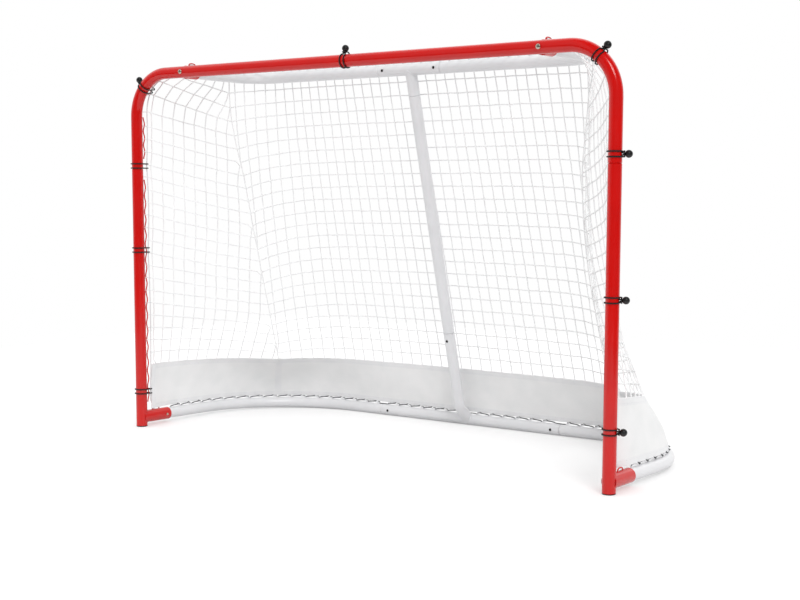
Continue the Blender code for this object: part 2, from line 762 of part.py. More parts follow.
def make_lacing_cord():
    """A cord that weaves from one side of the rods to the other, under each of their crests."""
    rise = TUBE_R + GAP + LACING_DIAMETER / 2
    points = []
    for side in (-1, 1):
        rail = base_rail_route(side)
        bar = base_bar_route(side)
        stops = [(rail, mark) for mark in wave_marks(BASE_ROD_START, rail.length - BASE_ROD_SEAM_MARGIN)]
        marks = wave_marks(SUPPORT_ROD_MARGIN, bar.length - BASE_ROD_SEAM_MARGIN)
        stops += [(bar, mark) for mark in reversed(marks)]
        turns = []
        for number, (route, mark) in enumerate(stops):
            aside = route.heading(mark).cross(UP).normalized() * side
            if route is bar:
                aside = BACK
            weave = LACING_WEAVE if (len(stops) - number) % 2 else -LACING_WEAVE
            turns.append(route.at(mark) + UP * rise + aside * weave)
        beside_stub = Vector((side * (TUBE_R + 2 * LACING_DIAMETER), REAR_Y, BASE_Z))
        turns.append(beside_stub + UP * rise + BACK * LACING_DETOUR)
        points += turns if side < 0 else turns[::-1]
    mesh = sweep("lacing_cord", points, LACING_DIAMETER / 2, 4)
    place("lacing_cord", mesh, GREY_CORD)


# Netting and skirt share one surface: a bag between the hem line and the shelf


def rope_point(side, bend_angle):
    """The net's front edge behind the bend, from the post (0) to the crossbar (90 degrees)."""
    share = bend_angle / (math.pi / 2)
    outward = Vector((side * math.cos(bend_angle), 0, math.sin(bend_angle)))
    centre = Vector((side * (POST_X - TOP_BEND_RADIUS), FRONT_Y, TOP_Z - TOP_BEND_RADIUS))
    lean = math.radians(45) + math.radians(45) * share
    reach = POST_ROPE_REACH + (BAR_ROPE_REACH - POST_ROPE_REACH) * share
    heading = -outward * math.cos(lean) + BACK * math.sin(lean)
    return centre + outward * TOP_BEND_RADIUS + heading * reach


def tangent_corners(before, corner, after, radius):
    """Three points outside a square bend, so that straight lines between them touch it."""
    back = (before - corner).normalized()
    ahead = (after - corner).normalized()
    centre = corner + (back + ahead) * radius
    reach = radius / math.cos(math.radians(15))
    points = []
    for degrees in (15, 45, 75):
        turn = math.radians(degrees)
        points.append(centre - ahead * reach * math.cos(turn) - back * reach * math.sin(turn))
    return points


def shelf_edge(side):
    """Route of the bag's upper edge outside the shelf tube, from the crossbar to the middle."""
    out = NET_REACH * math.sin(NET_LEAN)
    height = TOP_Z + NET_REACH * math.cos(NET_LEAN)
    start = Vector((side * (SHELF_X + out), FRONT_Y + BAR_ROPE_REACH, height))
    corner = Vector((side * (SHELF_X + out), SHELF_Y + out, height))
    middle = Vector((0, SHELF_Y + out, height))
    bend = tangent_corners(start, corner, middle, SHELF_BEND_RADIUS + out)
    return Route([start] + bend + [middle])


def hem_edge(side):
    """Route of the hem over the base tube, from the post to the middle of the rear bar."""
    front = rope_point(side, 0.0)
    flat = [
        Vector((side * POST_X, FRONT_Y + HEM_LEAD, 0)),
        Vector((side * POST_X, REAR_Y, 0)),
        Vector((0, REAR_Y, 0)),
    ]
    points = [Vector((front.x, front.y, 0))] + rounded_path(flat, BASE_BEND_RADIUS, 16)
    return Route([Vector((p.x, p.y, base_height(p.y) + HEM_RISE)) for p in points])


def front_edge(side):
    """Route of the net's front edge, from the hem up the post to the shelf rail."""
    foot = rope_point(side, 0.0)
    foot.z = base_height(foot.y) + HEM_RISE
    points = [foot]
    for step in range(13):
        points.append(rope_point(side, math.pi / 2 * step / 12))
    points.append(shelf_edge(side).at(0.0))
    return Route(points)


def between(share, shares, values):
    """Read a value off a broken line that passes through the given ones."""
    for index in range(1, len(shares)):
        if share <= shares[index] or index == len(shares) - 1:
            part = (share - shares[index - 1]) / (shares[index] - shares[index - 1])
            return values[index - 1] + (values[index] - values[index - 1]) * part


CREASE_MARGIN = NET_STRAND_WIDTH / 2 + GAP
HALF_COLUMNS = NET_STRAIGHT_COLUMNS + NET_BEND_COLUMNS


def hem_seam_distance(hem):
    """Distance along the hem to the seam between the side and the back of the bag."""
    return hem.length - (POST_X - BASE_BEND_RADIUS) - BASE_BEND_RADIUS * (math.pi / 2 - HEM_SEAM_TURN)


def crease(side, v):
    """The line that the net's tension draws in, between the side and the back of the bag."""
    low = hem_edge(side).at(hem_seam_distance(hem_edge(side)))
    shelf = shelf_edge(side)
    high = shelf.at(shelf.marks[1])
    high.y = SHELF_Y - SHELF_BEND_RADIUS
    lower = NET_SKIRT_TOP_Z
    top_share = (lower - low.z) / (high.z - low.z)
    z = low.z + (high.z - low.z) * v
    if v > top_share:
        z -= NET_DROOP * math.sin(math.pi * (v - top_share) / (1 - top_share))
    fall = (z - lower) / (high.z - lower)
    x = NET_CREASE_X + NET_CREASE_SPREAD * (2 * fall - 0.85) ** 2
    y = NET_CREASE_HIGH_Y + (NET_CREASE_LOW_Y - NET_CREASE_HIGH_Y) * (1 - fall) ** 1.9
    drawn = Vector((side * x, y, z))
    if z < lower:
        foot = Vector((side * (NET_CREASE_X + NET_CREASE_SPREAD * 0.85 ** 2), NET_CREASE_LOW_Y, lower))
        share = (z - low.z) / (lower - low.z)
        outward = Vector((side, 1, 0)).normalized()
        return low.lerp(foot, share) + outward * SKIRT_SEAM_BOW * math.sin(math.pi * share)
    return drawn.lerp(high, max(0.0, 1 - (high.z - z) / NET_CREASE_FADE))


def skirt_top_share():
    """How far up the bag the skirt reaches, as a share of its height."""
    return SKIRT_BACK_HEIGHT / (shelf_edge(1).at(0).z - BASE_Z - HEM_RISE)


def front_distance(front, v):
    """Distance along the front edge at a share of the bag's height."""
    top = skirt_top_share()
    return between(v, [0.0, top, 1.0], [0.0, SKIRT_FRONT_HEIGHT, front.length])


def side_surface(side):
    """Point of the side of the bag: u from the post to the crease, v from the hem to the shelf."""
    front = front_edge(side)
    hem = hem_edge(side)
    shelf = shelf_edge(side)
    hem_span = hem_seam_distance(hem) - CREASE_MARGIN
    shelf_span = SHELF_Y - SHELF_BEND_RADIUS - CREASE_MARGIN - shelf.at(0).y

    def point(u, v):
        ruled = hem.at(hem_span * u).lerp(shelf.at(shelf_span * u), v)
        fore = front.at(front_distance(front, v)) - hem.at(0).lerp(shelf.at(0), v)
        ends = hem.at(hem_span).lerp(shelf.at(shelf_span), v)
        seam = hem.at(hem_span + CREASE_MARGIN).lerp(shelf.at(shelf_span + CREASE_MARGIN), v)
        aside = (ends - seam).normalized() * CREASE_MARGIN
        rear = crease(side, v) + aside - ends
        bulge = 4 * SKIRT_BULGE * max(0.0, 1 - v / SKIRT_BULGE_FADE) * u * (1 - u)
        return ruled + fore * (1 - u) + rear * (u - bulge)

    return point


def back_surface():
    """Point of the back of the bag: u from the left crease to the right one, v upwards."""
    hems = {-1: hem_edge(-1), 1: hem_edge(1)}
    shelves = {-1: shelf_edge(-1), 1: shelf_edge(1)}
    knot = NET_STRAIGHT_COLUMNS / HALF_COLUMNS
    hem_seam = hems[1].length - hem_seam_distance(hems[1])
    hem_marks = [0.0, POST_X - BASE_BEND_RADIUS, hem_seam - CREASE_MARGIN]
    shelf_shares = [0.0, knot] + [knot + (1 - knot) * (step + 1) / 3 for step in range(3)]
    shelf_total = shelves[1].length
    shelf_marks = [0.0] + [shelf_total - shelves[1].marks[step] for step in (3, 2, 1)]
    shelf_seam = SHELF_Y - SHELF_BEND_RADIUS - shelves[1].at(0).y
    shelf_marks.append(shelf_total - shelf_seam - CREASE_MARGIN)

    def point(u, v):
        side = 1 if u >= 0.5 else -1
        share = abs(2 * u - 1)
        low = hems[side].at(hems[side].length - between(share, [0.0, knot, 1.0], hem_marks))
        high = shelves[side].at(shelf_total - between(share, shelf_shares, shelf_marks))
        low_end = hems[side].at(hems[side].length - hem_marks[-1])
        high_end = shelves[side].at(shelf_total - shelf_marks[-1])
        low_seam = hems[side].at(hems[side].length - hem_seam)
        high_seam = shelves[side].at(shelf_seam)
        ends = low_end.lerp(high_end, v)
        aside = (ends - low_seam.lerp(high_seam, v)).normalized() * CREASE_MARGIN
        drawn = crease(side, v) + aside - ends
        return low.lerp(high, v) + drawn * share ** 2

    return point


def top_surface():
    """Point of the top of the bag, which spans the shelf from the crossbar to its rear bar."""
    front_y = FRONT_Y + BAR_ROPE_REACH
    rear_y = SHELF_Y - NET_TOP_INSET
    rise = math.sqrt(NET_TOP_REACH ** 2 - NET_TOP_INSET ** 2)
    bend_y = SHELF_Y - SHELF_BEND_RADIUS
    bend_r = SHELF_BEND_RADIUS - NET_TOP_INSET

    def point(u, v):
        y = front_y + (rear_y - front_y) * v
        half = SHELF_X - NET_TOP_INSET
        if y > bend_y:
            half = SHELF_X - SHELF_BEND_RADIUS + math.sqrt(max(0.0, bend_r ** 2 - (y - bend_y) ** 2))
        share = 2 * u - 1
        edge = max(0.0, (abs(share) - 0.7) / 0.3)
        drop = rise * (1 - v) ** 2 * max(0.0, 1 - edge ** 2)
        return Vector((half * share, y, TOP_Z + rise - drop))

    return point


def net_rows(turn):
    """Shares of the bag's height at the net's rows; one row meets the corner loop."""
    route = front_edge(1)
    top = skirt_top_share()
    start = SKIRT_FRONT_HEIGHT + NET_STRAND_WIDTH / 2 + SKIRT_THICKNESS + GAP
    distances = [start] + [height - route.points[0].z for height in NET_ROW_HEIGHTS]
    distances.append(route.marks[1] + (route.marks[13] - route.marks[1]) * turn / (math.pi / 2))
    distances.append(route.length)
    return [between(d, [SKIRT_FRONT_HEIGHT, route.length], [top, 1.0]) for d in distances]


def widen_edge(form, width):
    """Add a border of the given width outside the open edge of a sheet."""
    rim = [edge for edge in form.edges if edge.is_boundary]
    outward = {}
    for edge in rim:
        face = edge.link_faces[0]
        middle = (edge.verts[0].co + edge.verts[1].co) / 2
        aside = (edge.verts[1].co - edge.verts[0].co).cross(face.normal).normalized()
        if aside.dot(middle - face.calc_center_median()) < 0:
            aside = -aside
        for corner in edge.verts:
            outward.setdefault(corner.index, []).append(aside)
    moves = []
    for index, asides in outward.items():
        mean = (asides[0] + asides[1]) / 2
        moves.append((form.verts[index].co.copy(), mean * width / mean.length_squared))
    added = bmesh.ops.extrude_edge_only(form, edges=rim)["geom"]
    for corner in [part for part in added if isinstance(part, bmesh.types.BMVert)]:
        move = min(moves, key=lambda entry: (entry[0] - corner.co).length_squared)
        corner.co = corner.co + move[1]


def net_panel(name, surface, columns, rows):
    """A lattice of strands with a ridge along each one, thin at the edges of its openings."""
    form = bmesh.new()
    bmesh.ops.create_grid(form, x_segments=columns, y_segments=len(rows) - 1, size=0.5)
    for corner in form.verts:
        row = round((corner.co.y + 0.5) * (len(rows) - 1))
        corner.co = surface(corner.co.x + 0.5, rows[row])
    form.normal_update()
    ridges = [(corner, corner.normal.copy()) for corner in form.verts]
    cells = list(form.faces)
    half_width = NET_STRAND_WIDTH / 2
    form.verts.ensure_lookup_table()
    form.verts.index_update()
    widen_edge(form, half_width)
    bmesh.ops.inset_individual(form, faces=cells, thickness=half_width, use_even_offset=True)
    bmesh.ops.delete(form, geom=cells, context="FACES")
    twin = bmesh.ops.duplicate(form, geom=form.verts[:] + form.edges[:] + form.faces[:])
    partner = twin["vert_map"]
    for corner, normal in ridges:
        other = partner[corner]
        other.co = other.co - normal * NET_STRAND_THICKNESS / 2
        corner.co = corner.co + normal * NET_STRAND_THICKNESS / 2
    bmesh.ops.reverse_faces(form, faces=[f for f in twin["geom"] if isinstance(f, bmesh.types.BMFace)])
    bmesh.ops.remove_doubles(form, verts=form.verts, dist=0.00001)
    bmesh.ops.recalc_face_normals(form, faces=form.faces)
    mesh = bpy.data.meshes.new(name)
    form.to_mesh(mesh)
    form.free()
    place(name, mesh, WHITE_TWINE)


def corner_loop_turn(side):
    return LEFT_CORNER_LOOP_TURN if side < 0 else RIGHT_CORNER_LOOP_TURN


def make_nets():
    for label, side in SIDES:
        rows = net_rows(corner_loop_turn(side) - CORNER_ROW_SHIFT)
        net_panel(f"net_side_{label}", side_surface(side), NET_SIDE_COLUMNS, rows)
    middle_turn = (LEFT_CORNER_LOOP_TURN + RIGHT_CORNER_LOOP_TURN) / 2
    net_panel("net_back", back_surface(), 2 * HALF_COLUMNS, net_rows(middle_turn))
    rows = [row / NET_TOP_ROWS for row in range(NET_TOP_ROWS + 1)]
    net_panel("net_top", top_surface(), NET_TOP_COLUMNS, rows)


def skirt_panel(name, surface, columns):
    """A sheet of fabric that stands on the lacing rods, with soft folds between its edges."""
    form = bmesh.new()
    bmesh.ops.create_grid(form, x_segments=columns, y_segments=SKIRT_ROWS, size=0.5)
    top = skirt_top_share()
    for corner in form.verts:
        u = corner.co.x + 0.5
        share = corner.co.y + 0.5
        fold = SKIRT_FOLD_DEPTH * math.sin(math.pi * share) * math.sin(math.pi * u) ** 2
        ripple = fold * math.sin(columns * u * math.pi / 2)
        point = surface(u, top * share)
        outward = Vector((point.x, point.y, 0)).normalized()
        corner.co = point + outward * (fold + ripple) / 2
    bmesh.ops.recalc_face_normals(form, faces=form.faces)
    mesh = bpy.data.meshes.new(name)
    form.to_mesh(mesh)
    form.free()
    mesh.shade_smooth()
    item = place(name, mesh, WHITE_FABRIC)
    cloth = item.modifiers.new("fabric", "SOLIDIFY")
    cloth.thickness = SKIRT_THICKNESS
    cloth.offset = 0.0
    return item


def make_skirts():
    lowest = {-1: LEFT_LOOP_HEIGHTS[-1], 1: RIGHT_LOOP_HEIGHTS[-1]}
    for label, side in SIDES:
        panel = skirt_panel(f"skirt_side_{label}", side_surface(side), SKIRT_SIDE_COLUMNS)
        edge = rope_point(side, 0.0)
        form = bmesh.new()
        bmesh.ops.create_cube(form, size=1.0)
        name = f"skirt_slot_{label}"
        mesh = bpy.data.meshes.new(name)
        form.to_mesh(mesh)
        form.free()
        middle = edge.y + SKIRT_SLOT_SETBACK + SKIRT_SLOT_LENGTH / 2
        size = Matrix.Diagonal((TUBE_DIAMETER, SKIRT_SLOT_LENGTH, SKIRT_SLOT_HEIGHT, 1))
        mesh.transform(size)
        slot = place(name, mesh, None, Matrix.Translation((edge.x, middle, lowest[side])))
        combine(panel, slot, "DIFFERENCE")
    skirt_panel("skirt_back", back_surface(), SKIRT_BACK_COLUMNS)


# Elastic loops with balls


def loop_route(centre, along, rope_heading, rope_reach, ball_heading, slack):
    """Centre line of a doubled cord that passes round the tube and the net's edge rope.

    Both ends start under the ball, and the bight at the other end hooks under the ball.
    """
    e1 = rope_heading
    e2 = along.cross(e1).normalized()
    if ball_heading.dot(e2) < 0:
        e2 = -e2
    tube_r = TUBE_R + GAP + CORD_R
    rope_r = ROPE_R + GAP + CORD_R + slack
    leave = math.acos((tube_r - rope_r) / rope_reach)
    ball_angle = math.acos(max(-1.0, min(1.0, ball_heading.dot(e1))))

    def on_tube(angle, lift=0.0):
        return (e1 * math.cos(angle) + e2 * math.sin(angle)) * (tube_r + lift)

    def tangential(angle):
        return -e1 * math.sin(angle) + e2 * math.cos(angle)

    def stations(first, last):
        count = max(1, math.ceil((last - first) / LOOP_STEP))
        angles = [first + (last - first) * k / count for k in range(count + 1)]
        flare = 1 / math.cos((last - first) / count / 2)
        return [on_tube(angle) * flare for angle in angles]

    start = ball_angle + math.radians(30)
    finish = ball_angle - math.radians(34)
    around = stations(start, 2 * math.pi - leave)
    for angle in (-leave, 0.0, leave):
        heading = e1 * math.cos(angle) + e2 * math.sin(angle)
        around.append(e1 * rope_reach + heading * rope_r / math.cos(leave / 2))
    if finish > leave:
        around += stations(leave, finish)
    ball_side = tangential(ball_angle)
    neck = CORD_R + GAP
    leads = [
        (ball_heading * (ball_seat() - 0.0016) - ball_side * 0.001, neck),
        (ball_heading * (tube_r + 2 * GAP) + ball_side * 0.0045, neck),
    ]
    over = 2 * CORD_R + GAP
    bight = [
        (on_tube(ball_angle, over * 0.6) - ball_side * 0.0055, CORD_SPREAD),
        (on_tube(ball_angle, over) + ball_side * 0.0035, CORD_SPREAD),
        (on_tube(ball_angle, over) + ball_side * 0.0090, CORD_SPREAD * 0.5),
    ]
    strand = leads + [(point, CORD_SPREAD) for point in around] + bight
    first = [centre + point + along * offset for point, offset in strand]
    second = [centre + point - along * offset for point, offset in reversed(strand)]
    return first + second


def ball_seat():
    """Distance from the tube's axis to the underside of a ball, between the hooked strands."""
    return TUBE_R + BALL_STANDOFF


def loop_clearance(points):
    """Least distance between the cord's own surfaces, between strands that aren't neighbours."""
    samples = []
    distance = 0.0
    for before, after in zip(points, points[1:]):
        for step in range(6):
            samples.append((before.lerp(after, step / 6), distance + (after - before).length * step / 6))
        distance += (after - before).length
    least = 1.0
    for index, (point, mark) in enumerate(samples):
        for other, other_mark in samples[index + 1:]:
            if other_mark - mark > 4 * CORD_DIAMETER:
                least = min(least, (point - other).length)
    return least - CORD_DIAMETER


def make_loop(index, label, centre, along, rope_heading, rope_reach, ball_heading, slack=0.0):
    points = loop_route(centre, along, rope_heading, rope_reach, ball_heading, slack)
    name = f"bungee_cord_{index}_{label}"
    place(name, sweep(name, points, CORD_R, 6), BLACK_CORD)
    print(f"{name}: least gap to itself {loop_clearance(points) * 1000:.2f} mm")
    radius = BALL_DIAMETER / 2
    profile = []
    for step in range(6):
        angle = math.pi * step / 5
        profile.append((max(0.0, radius * math.sin(angle)), radius * math.cos(angle)))
    profile[0] = (0.0, radius)
    profile[-1] = (0.0, -radius)
    origin = centre + ball_heading * (ball_seat() + radius)
    turned(f"bungee_ball_{index}_{label}", profile, 10, origin, ball_heading, BLACK_PLASTIC)


def make_loops():
    index = 1
    for label, side in SIDES:
        heights = LEFT_LOOP_HEIGHTS if side < 0 else RIGHT_LOOP_HEIGHTS
        turn = LEFT_BALL_TURN if side < 0 else RIGHT_BALL_TURN
        ball_heading = Vector((math.cos(turn), math.sin(turn), 0))
        rope_heading = (Vector((-side, 0, 0)) + BACK).normalized()
        for height in heights:
            centre = Vector((side * POST_X, FRONT_Y, height))
            make_loop(index, f"post_{label}", centre, UP, rope_heading, POST_ROPE_REACH, ball_heading)
            index += 1
    for label, side in SIDES:
        angle = corner_loop_turn(side)
        half_step = math.radians(45) / TOP_BEND_STEPS
        chord = math.cos(half_step) / math.cos(angle - math.radians(45))
        outward = Vector((side * math.cos(angle), 0, math.sin(angle)))
        bend = Vector((side * (POST_X - TOP_BEND_RADIUS), FRONT_Y, TOP_Z - TOP_BEND_RADIUS))
        centre = bend + outward * TOP_BEND_RADIUS * chord
        to_rope = rope_point(side, angle) - outward * CORNER_NET_SAG - centre
        along = outward.cross(BACK).normalized()
        make_loop(
            index, f"corner_{label}", centre, along, to_rope.normalized(), to_rope.length, outward,
            CORNER_LOOP_SLACK)
        index += 1
    centre = Vector((CROSSBAR_LOOP_X, FRONT_Y, TOP_Z))
    make_loop(index, "crossbar", centre, Vector((1, 0, 0)), BACK, BAR_ROPE_REACH, UP)


make_upper_corners()
make_lower_posts()
make_foot_caps()
make_shelf_sockets()
make_crossbar_bolts()
make_shelf_corners()
make_shelf_middle()
make_support()
make_base_middle()
make_base_corners()
for screw_label, screw_side in SIDES:
    make_screw(f"shelf_screw_{screw_label}", shelf_screw_point(screw_side), BACK)
    make_screw(f"base_screw_{screw_label}", base_screw_point(screw_side), BACK)
make_screw("support_screw", support_screw_point(), support_screw_heading())
make_snap_buttons()
make_snap_springs()
make_post_rods()
make_base_rods()
make_lacing_cord()
make_nets()
make_skirts()
make_loops()
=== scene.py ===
import math

import bmesh
import bpy
from mathutils import Matrix, Vector


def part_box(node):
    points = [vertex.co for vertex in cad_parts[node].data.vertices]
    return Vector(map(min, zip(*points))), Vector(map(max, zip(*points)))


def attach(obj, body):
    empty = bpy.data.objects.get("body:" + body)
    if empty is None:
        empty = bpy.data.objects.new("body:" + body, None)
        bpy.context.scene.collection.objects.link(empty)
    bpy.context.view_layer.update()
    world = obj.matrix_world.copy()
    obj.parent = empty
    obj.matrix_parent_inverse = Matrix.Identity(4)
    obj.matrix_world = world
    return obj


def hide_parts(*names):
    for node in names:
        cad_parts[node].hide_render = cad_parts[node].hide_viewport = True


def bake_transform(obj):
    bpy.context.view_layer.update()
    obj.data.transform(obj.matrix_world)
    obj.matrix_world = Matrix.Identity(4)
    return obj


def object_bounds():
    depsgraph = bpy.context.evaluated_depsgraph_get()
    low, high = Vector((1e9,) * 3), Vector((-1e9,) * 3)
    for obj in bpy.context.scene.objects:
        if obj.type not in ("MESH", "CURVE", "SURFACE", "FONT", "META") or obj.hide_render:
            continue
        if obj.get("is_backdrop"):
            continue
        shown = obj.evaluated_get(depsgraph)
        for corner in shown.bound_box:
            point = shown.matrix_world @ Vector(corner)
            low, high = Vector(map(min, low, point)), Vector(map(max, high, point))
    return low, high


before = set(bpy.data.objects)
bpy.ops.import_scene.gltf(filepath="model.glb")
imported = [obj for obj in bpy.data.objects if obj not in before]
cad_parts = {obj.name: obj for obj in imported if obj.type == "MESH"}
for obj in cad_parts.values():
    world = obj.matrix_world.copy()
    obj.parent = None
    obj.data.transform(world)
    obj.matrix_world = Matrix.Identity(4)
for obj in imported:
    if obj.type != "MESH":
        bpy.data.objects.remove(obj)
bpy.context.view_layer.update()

# Front hoop
# Four lengths of 38 mm steel tube make the posts and the crossbar. Each is sawn, bent on a
# former, drawn in at one end so that it slides into the next, and powder coated red.

GOAL_WIDTH = 1.8288
GOAL_HEIGHT = 1.2192
BASE_DEPTH = 0.700
SHELF_WIDTH = 1.340
TUBE_R = 0.019
TUBE_WALL = 0.0015
TUBE_SIDES = 40
GAP = 0.0003
SLIDE_FIT = 0.0006
TOP_BEND_RADIUS = 0.140
BEND_STEP = math.radians(4)
UPPER_POST_LENGTH = 0.175
CROSSBAR_SEAM_X = 0.010
SWAGE_LENGTH = 0.060
SWAGE_SHOULDER = 0.002
SAWN_EDGE = 0.0004
BOLT_R = 0.003
HOLE_CLEARANCE = 0.0004
HOLE_SIDES = 16
BORE_R = TUBE_R - TUBE_WALL
SWAGE_R = BORE_R - SLIDE_FIT
POST_X = GOAL_WIDTH / 2 - TUBE_R
SHELF_X = SHELF_WIDTH / 2
FRONT_Y = -BASE_DEPTH / 2
TOP_Z = GOAL_HEIGHT - TUBE_R
BEND_Z = TOP_Z - TOP_BEND_RADIUS
POST_SEAM_HEIGHT = BEND_Z - UPPER_POST_LENGTH
BACK = Vector((0, 1, 0))
SIDES = (("left", -1), ("right", 1))


def linear(hex_colour):
    """An sRGB hex colour as the linear values that a shader takes."""
    shares = [int(hex_colour[place:place + 2], 16) / 255 for place in (1, 3, 5)]
    return [s / 12.92 if s <= 0.04045 else ((s + 0.055) / 1.055) ** 2.4 for s in shares] + [1.0]


def feed(node, inputs):
    """Give each input its value, or what feeds it: a socket, or a node's first output in use."""
    for name, value in inputs.items():
        if isinstance(value, bpy.types.Node):
            value = next(socket for socket in value.outputs if socket.enabled)
        if isinstance(value, bpy.types.NodeSocket):
            node.id_data.links.new(value, node.inputs[name])
        else:
            node.inputs[name].default_value = value


def add_node(tree, kind, inputs=None, **settings):
    node = tree.nodes.new(kind)
    for name, value in settings.items():
        setattr(node, name, value)
    feed(node, inputs or {})
    return node


def new_material(name, colour, roughness, values):
    """A material with its plain values on the shader's own sockets."""
    material = bpy.data.materials.new(name)
    material.use_nodes = True
    shader = material.node_tree.nodes["Principled BSDF"]
    feed(shader, {"Base Color": linear(colour), "Roughness": roughness, "IOR": 1.5, **values})
    return material, material.node_tree, shader


def hard_finish(name, colours, roughness, cloud, wear, gloss, grain, relief, values, stretch=1.0):
    """A hard surface whose shade, gloss and relief each follow a noise of a given size and detail.

    cloud and wear also give the part of their noise that counts, gloss the roughness at its ends,
    and relief the strength and depth of the grain.
    """
    material, tree, shader = new_material(name, colours[0], roughness, values)
    place = add_node(tree, "ShaderNodeTexCoord").outputs["Object"]
    rubbed = add_node(tree, "ShaderNodeMapping", {"Vector": place, "Scale": (1.0, 1.0, stretch)})
    noises = [
        add_node(tree, "ShaderNodeTexNoise", {"Vector": vector, "Scale": 1 / noise[0], "Detail": noise[1]})
        for vector, noise in ((place, cloud), (rubbed, wear), (place, grain))]
    patchy = add_node(
        tree, "ShaderNodeMapRange", {"Value": noises[0], "From Min": cloud[2], "From Max": cloud[3]})
    dull = add_node(tree, "ShaderNodeMapRange", {
        "Value": noises[1], "From Min": wear[2], "From Max": wear[3],
        "To Min": roughness + gloss[0], "To Max": roughness + gloss[1]})
    bump = add_node(
        tree, "ShaderNodeBump", {"Strength": relief[0], "Distance": relief[1], "Height": noises[2]})
    tint = add_node(
        tree, "ShaderNodeMix", {"Factor": patchy, "A": linear(colours[0]), "B": linear(colours[1])},
        data_type="RGBA")
    feed(shader, {"Base Color": tint, "Roughness": dull, "Normal": bump})
    return material


def powder_coat(name, colour, shade, roughness):
    """Polyester powder baked on steel: an even gloss with orange peel and faint handling marks."""
    return hard_finish(
        name, (colour, shade), roughness, cloud=(0.12, 4.0, 0.35, 0.75), wear=(0.03, 5.0, 0.45, 0.75),
        gloss=(0.0, 0.07), grain=(0.0035, 2.0), relief=(0.12, 0.0002), stretch=0.25,
        values={"IOR": 1.45, "Coat Weight": 0.12, "Coat Roughness": 0.12})


def as_mesh(name, form):
    mesh = bpy.data.meshes.new(name)
    form.to_mesh(mesh)
    form.free()
    return mesh


def swept(name, points, radii, sides, closed=False, capped=True):
    """A round bar along the points, with the turn round it and the metres along it as its UV map."""
    form = bmesh.new()
    run = form.loops.layers.uv.new("run")
    radii = radii if isinstance(radii, list) else [radii] * len(points)
    ahead = next(point - points[0] for point in points if point != points[0]).normalized()
    across = ahead.orthogonal().normalized()
    travelled = 0.0
    rings = []
    for index, point in enumerate(points):
        before = points[index - 1] if index or closed else point
        after = points[(index + 1) % len(points)] if index < len(points) - 1 or closed else point
        if (after - before).length > 1e-7:
            ahead = (after - before).normalized()
        across = (across - ahead * across.dot(ahead)).normalized()
        up = ahead.cross(across)
        if index:
            travelled += (point - points[index - 1]).length
        turns = [2 * math.pi * corner / sides for corner in range(sides if radii[index] > 1e-6 else 1)]
        offsets = [(across * math.cos(turn) + up * math.sin(turn)) * radii[index] for turn in turns]
        rings.append(([form.verts.new(point + offset) for offset in offsets], travelled))
    if closed:
        rings.append((rings[0][0], travelled + (points[0] - points[-1]).length))
    for (lower, start), (upper, end) in zip(rings, rings[1:]):
        for corner in range(sides):
            kept = {}
            for ring, step, mark in ((lower, 0, start), (lower, 1, start), (upper, 1, end), (upper, 0, end)):
                kept.setdefault(ring[(corner + step) % len(ring)], ((corner + step) / sides, mark))
            if len(kept) > 2:
                face = form.faces.new(list(kept))
                for face_loop, place in zip(face.loops, kept.values()):
                    face_loop[run].uv = place
    for ring in (rings[0][0][::-1], rings[-1][0]):
        if capped and not closed and len(ring) > 1:
            form.faces.new(ring)
    return as_mesh(name, form)


def placed(name, data):
    item = bpy.data.objects.new(name, data)
    bpy.context.scene.collection.objects.link(item)
    return item


def settled(mesh, kind, values=None, **settings):
    """The plain mesh after one modifier; values are for the named inputs of its node tree."""
    holder = placed(mesh.name, mesh)
    step = holder.modifiers.new("step", kind)
    for name, value in settings.items():
        setattr(step, name, value)
    for item in step.node_group.interface.items_tree if values else ():
        if item.name in values:
            step[item.identifier] = values[item.name]
    evaluated = holder.evaluated_get(bpy.context.evaluated_depsgraph_get())
    result = bpy.data.meshes.new_from_object(evaluated)
    bpy.data.objects.remove(holder)
    return result


def shaped(mesh, operation, *tools):
    """The mesh with closed tool meshes joined to it or cut out of it."""
    for tool in tools:
        holder = placed(tool.name, tool)
        mesh = settled(mesh, "BOOLEAN", operation=operation, solver="EXACT", object=holder)
        bpy.data.objects.remove(holder)
    return mesh


def piece(name, mesh, material, slot, *nodes, body="frame", sharp=35):
    """Put a finished mesh in the scene, on its body, in place of its CAD nodes."""
    mesh.materials.clear()
    mesh.materials.append(material)
    mesh.shade_smooth()
    mesh.set_sharp_from_angle(angle=math.radians(sharp))
    item = placed(name, mesh)
    if body:
        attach(item, body)
    if nodes:
        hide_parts(*nodes)
    return item


def rounded_path(corners, radius):
    """The corner points with an arc of the given radius at each inner corner."""
    path = [corners[0]]
    for before, corner, after in zip(corners, corners[1:], corners[2:]):
        back = (before - corner).normalized()
        ahead = (after - corner).normalized()
        half = back.angle(ahead) / 2
        start = corner + back * radius / math.tan(half)
        centre = corner + (back + ahead).normalized() * radius / math.sin(half)
        sweep = 2 * half - math.pi
        steps = max(2, round(abs(sweep) / BEND_STEP))
        for step in range(steps + 1):
            turn = Matrix.Rotation(sweep * step / steps, 3, back.cross(ahead))
            path.append(centre + turn @ (start - centre))
    return path + [corners[-1]]


def drawn_in(path):
    """Points and radii for the end of a path that slides into the next tube."""
    ahead = (path[-1] - path[-2]).normalized()
    tip = path[-1] + ahead * SWAGE_LENGTH
    points = [path[-1] - ahead * SWAGE_SHOULDER, path[-1], tip - ahead * SWAGE_SHOULDER, tip]
    return points, [TUBE_R, SWAGE_R, SWAGE_R, SWAGE_R - SAWN_EDGE]


def sawn(path):
    """Points and radii for the end of a path that is a plain cut with its burr taken off."""
    ahead = (path[-1] - path[-2]).normalized()
    return [path[-1] - ahead * SAWN_EDGE, path[-1]], [TUBE_R, TUBE_R - SAWN_EDGE]


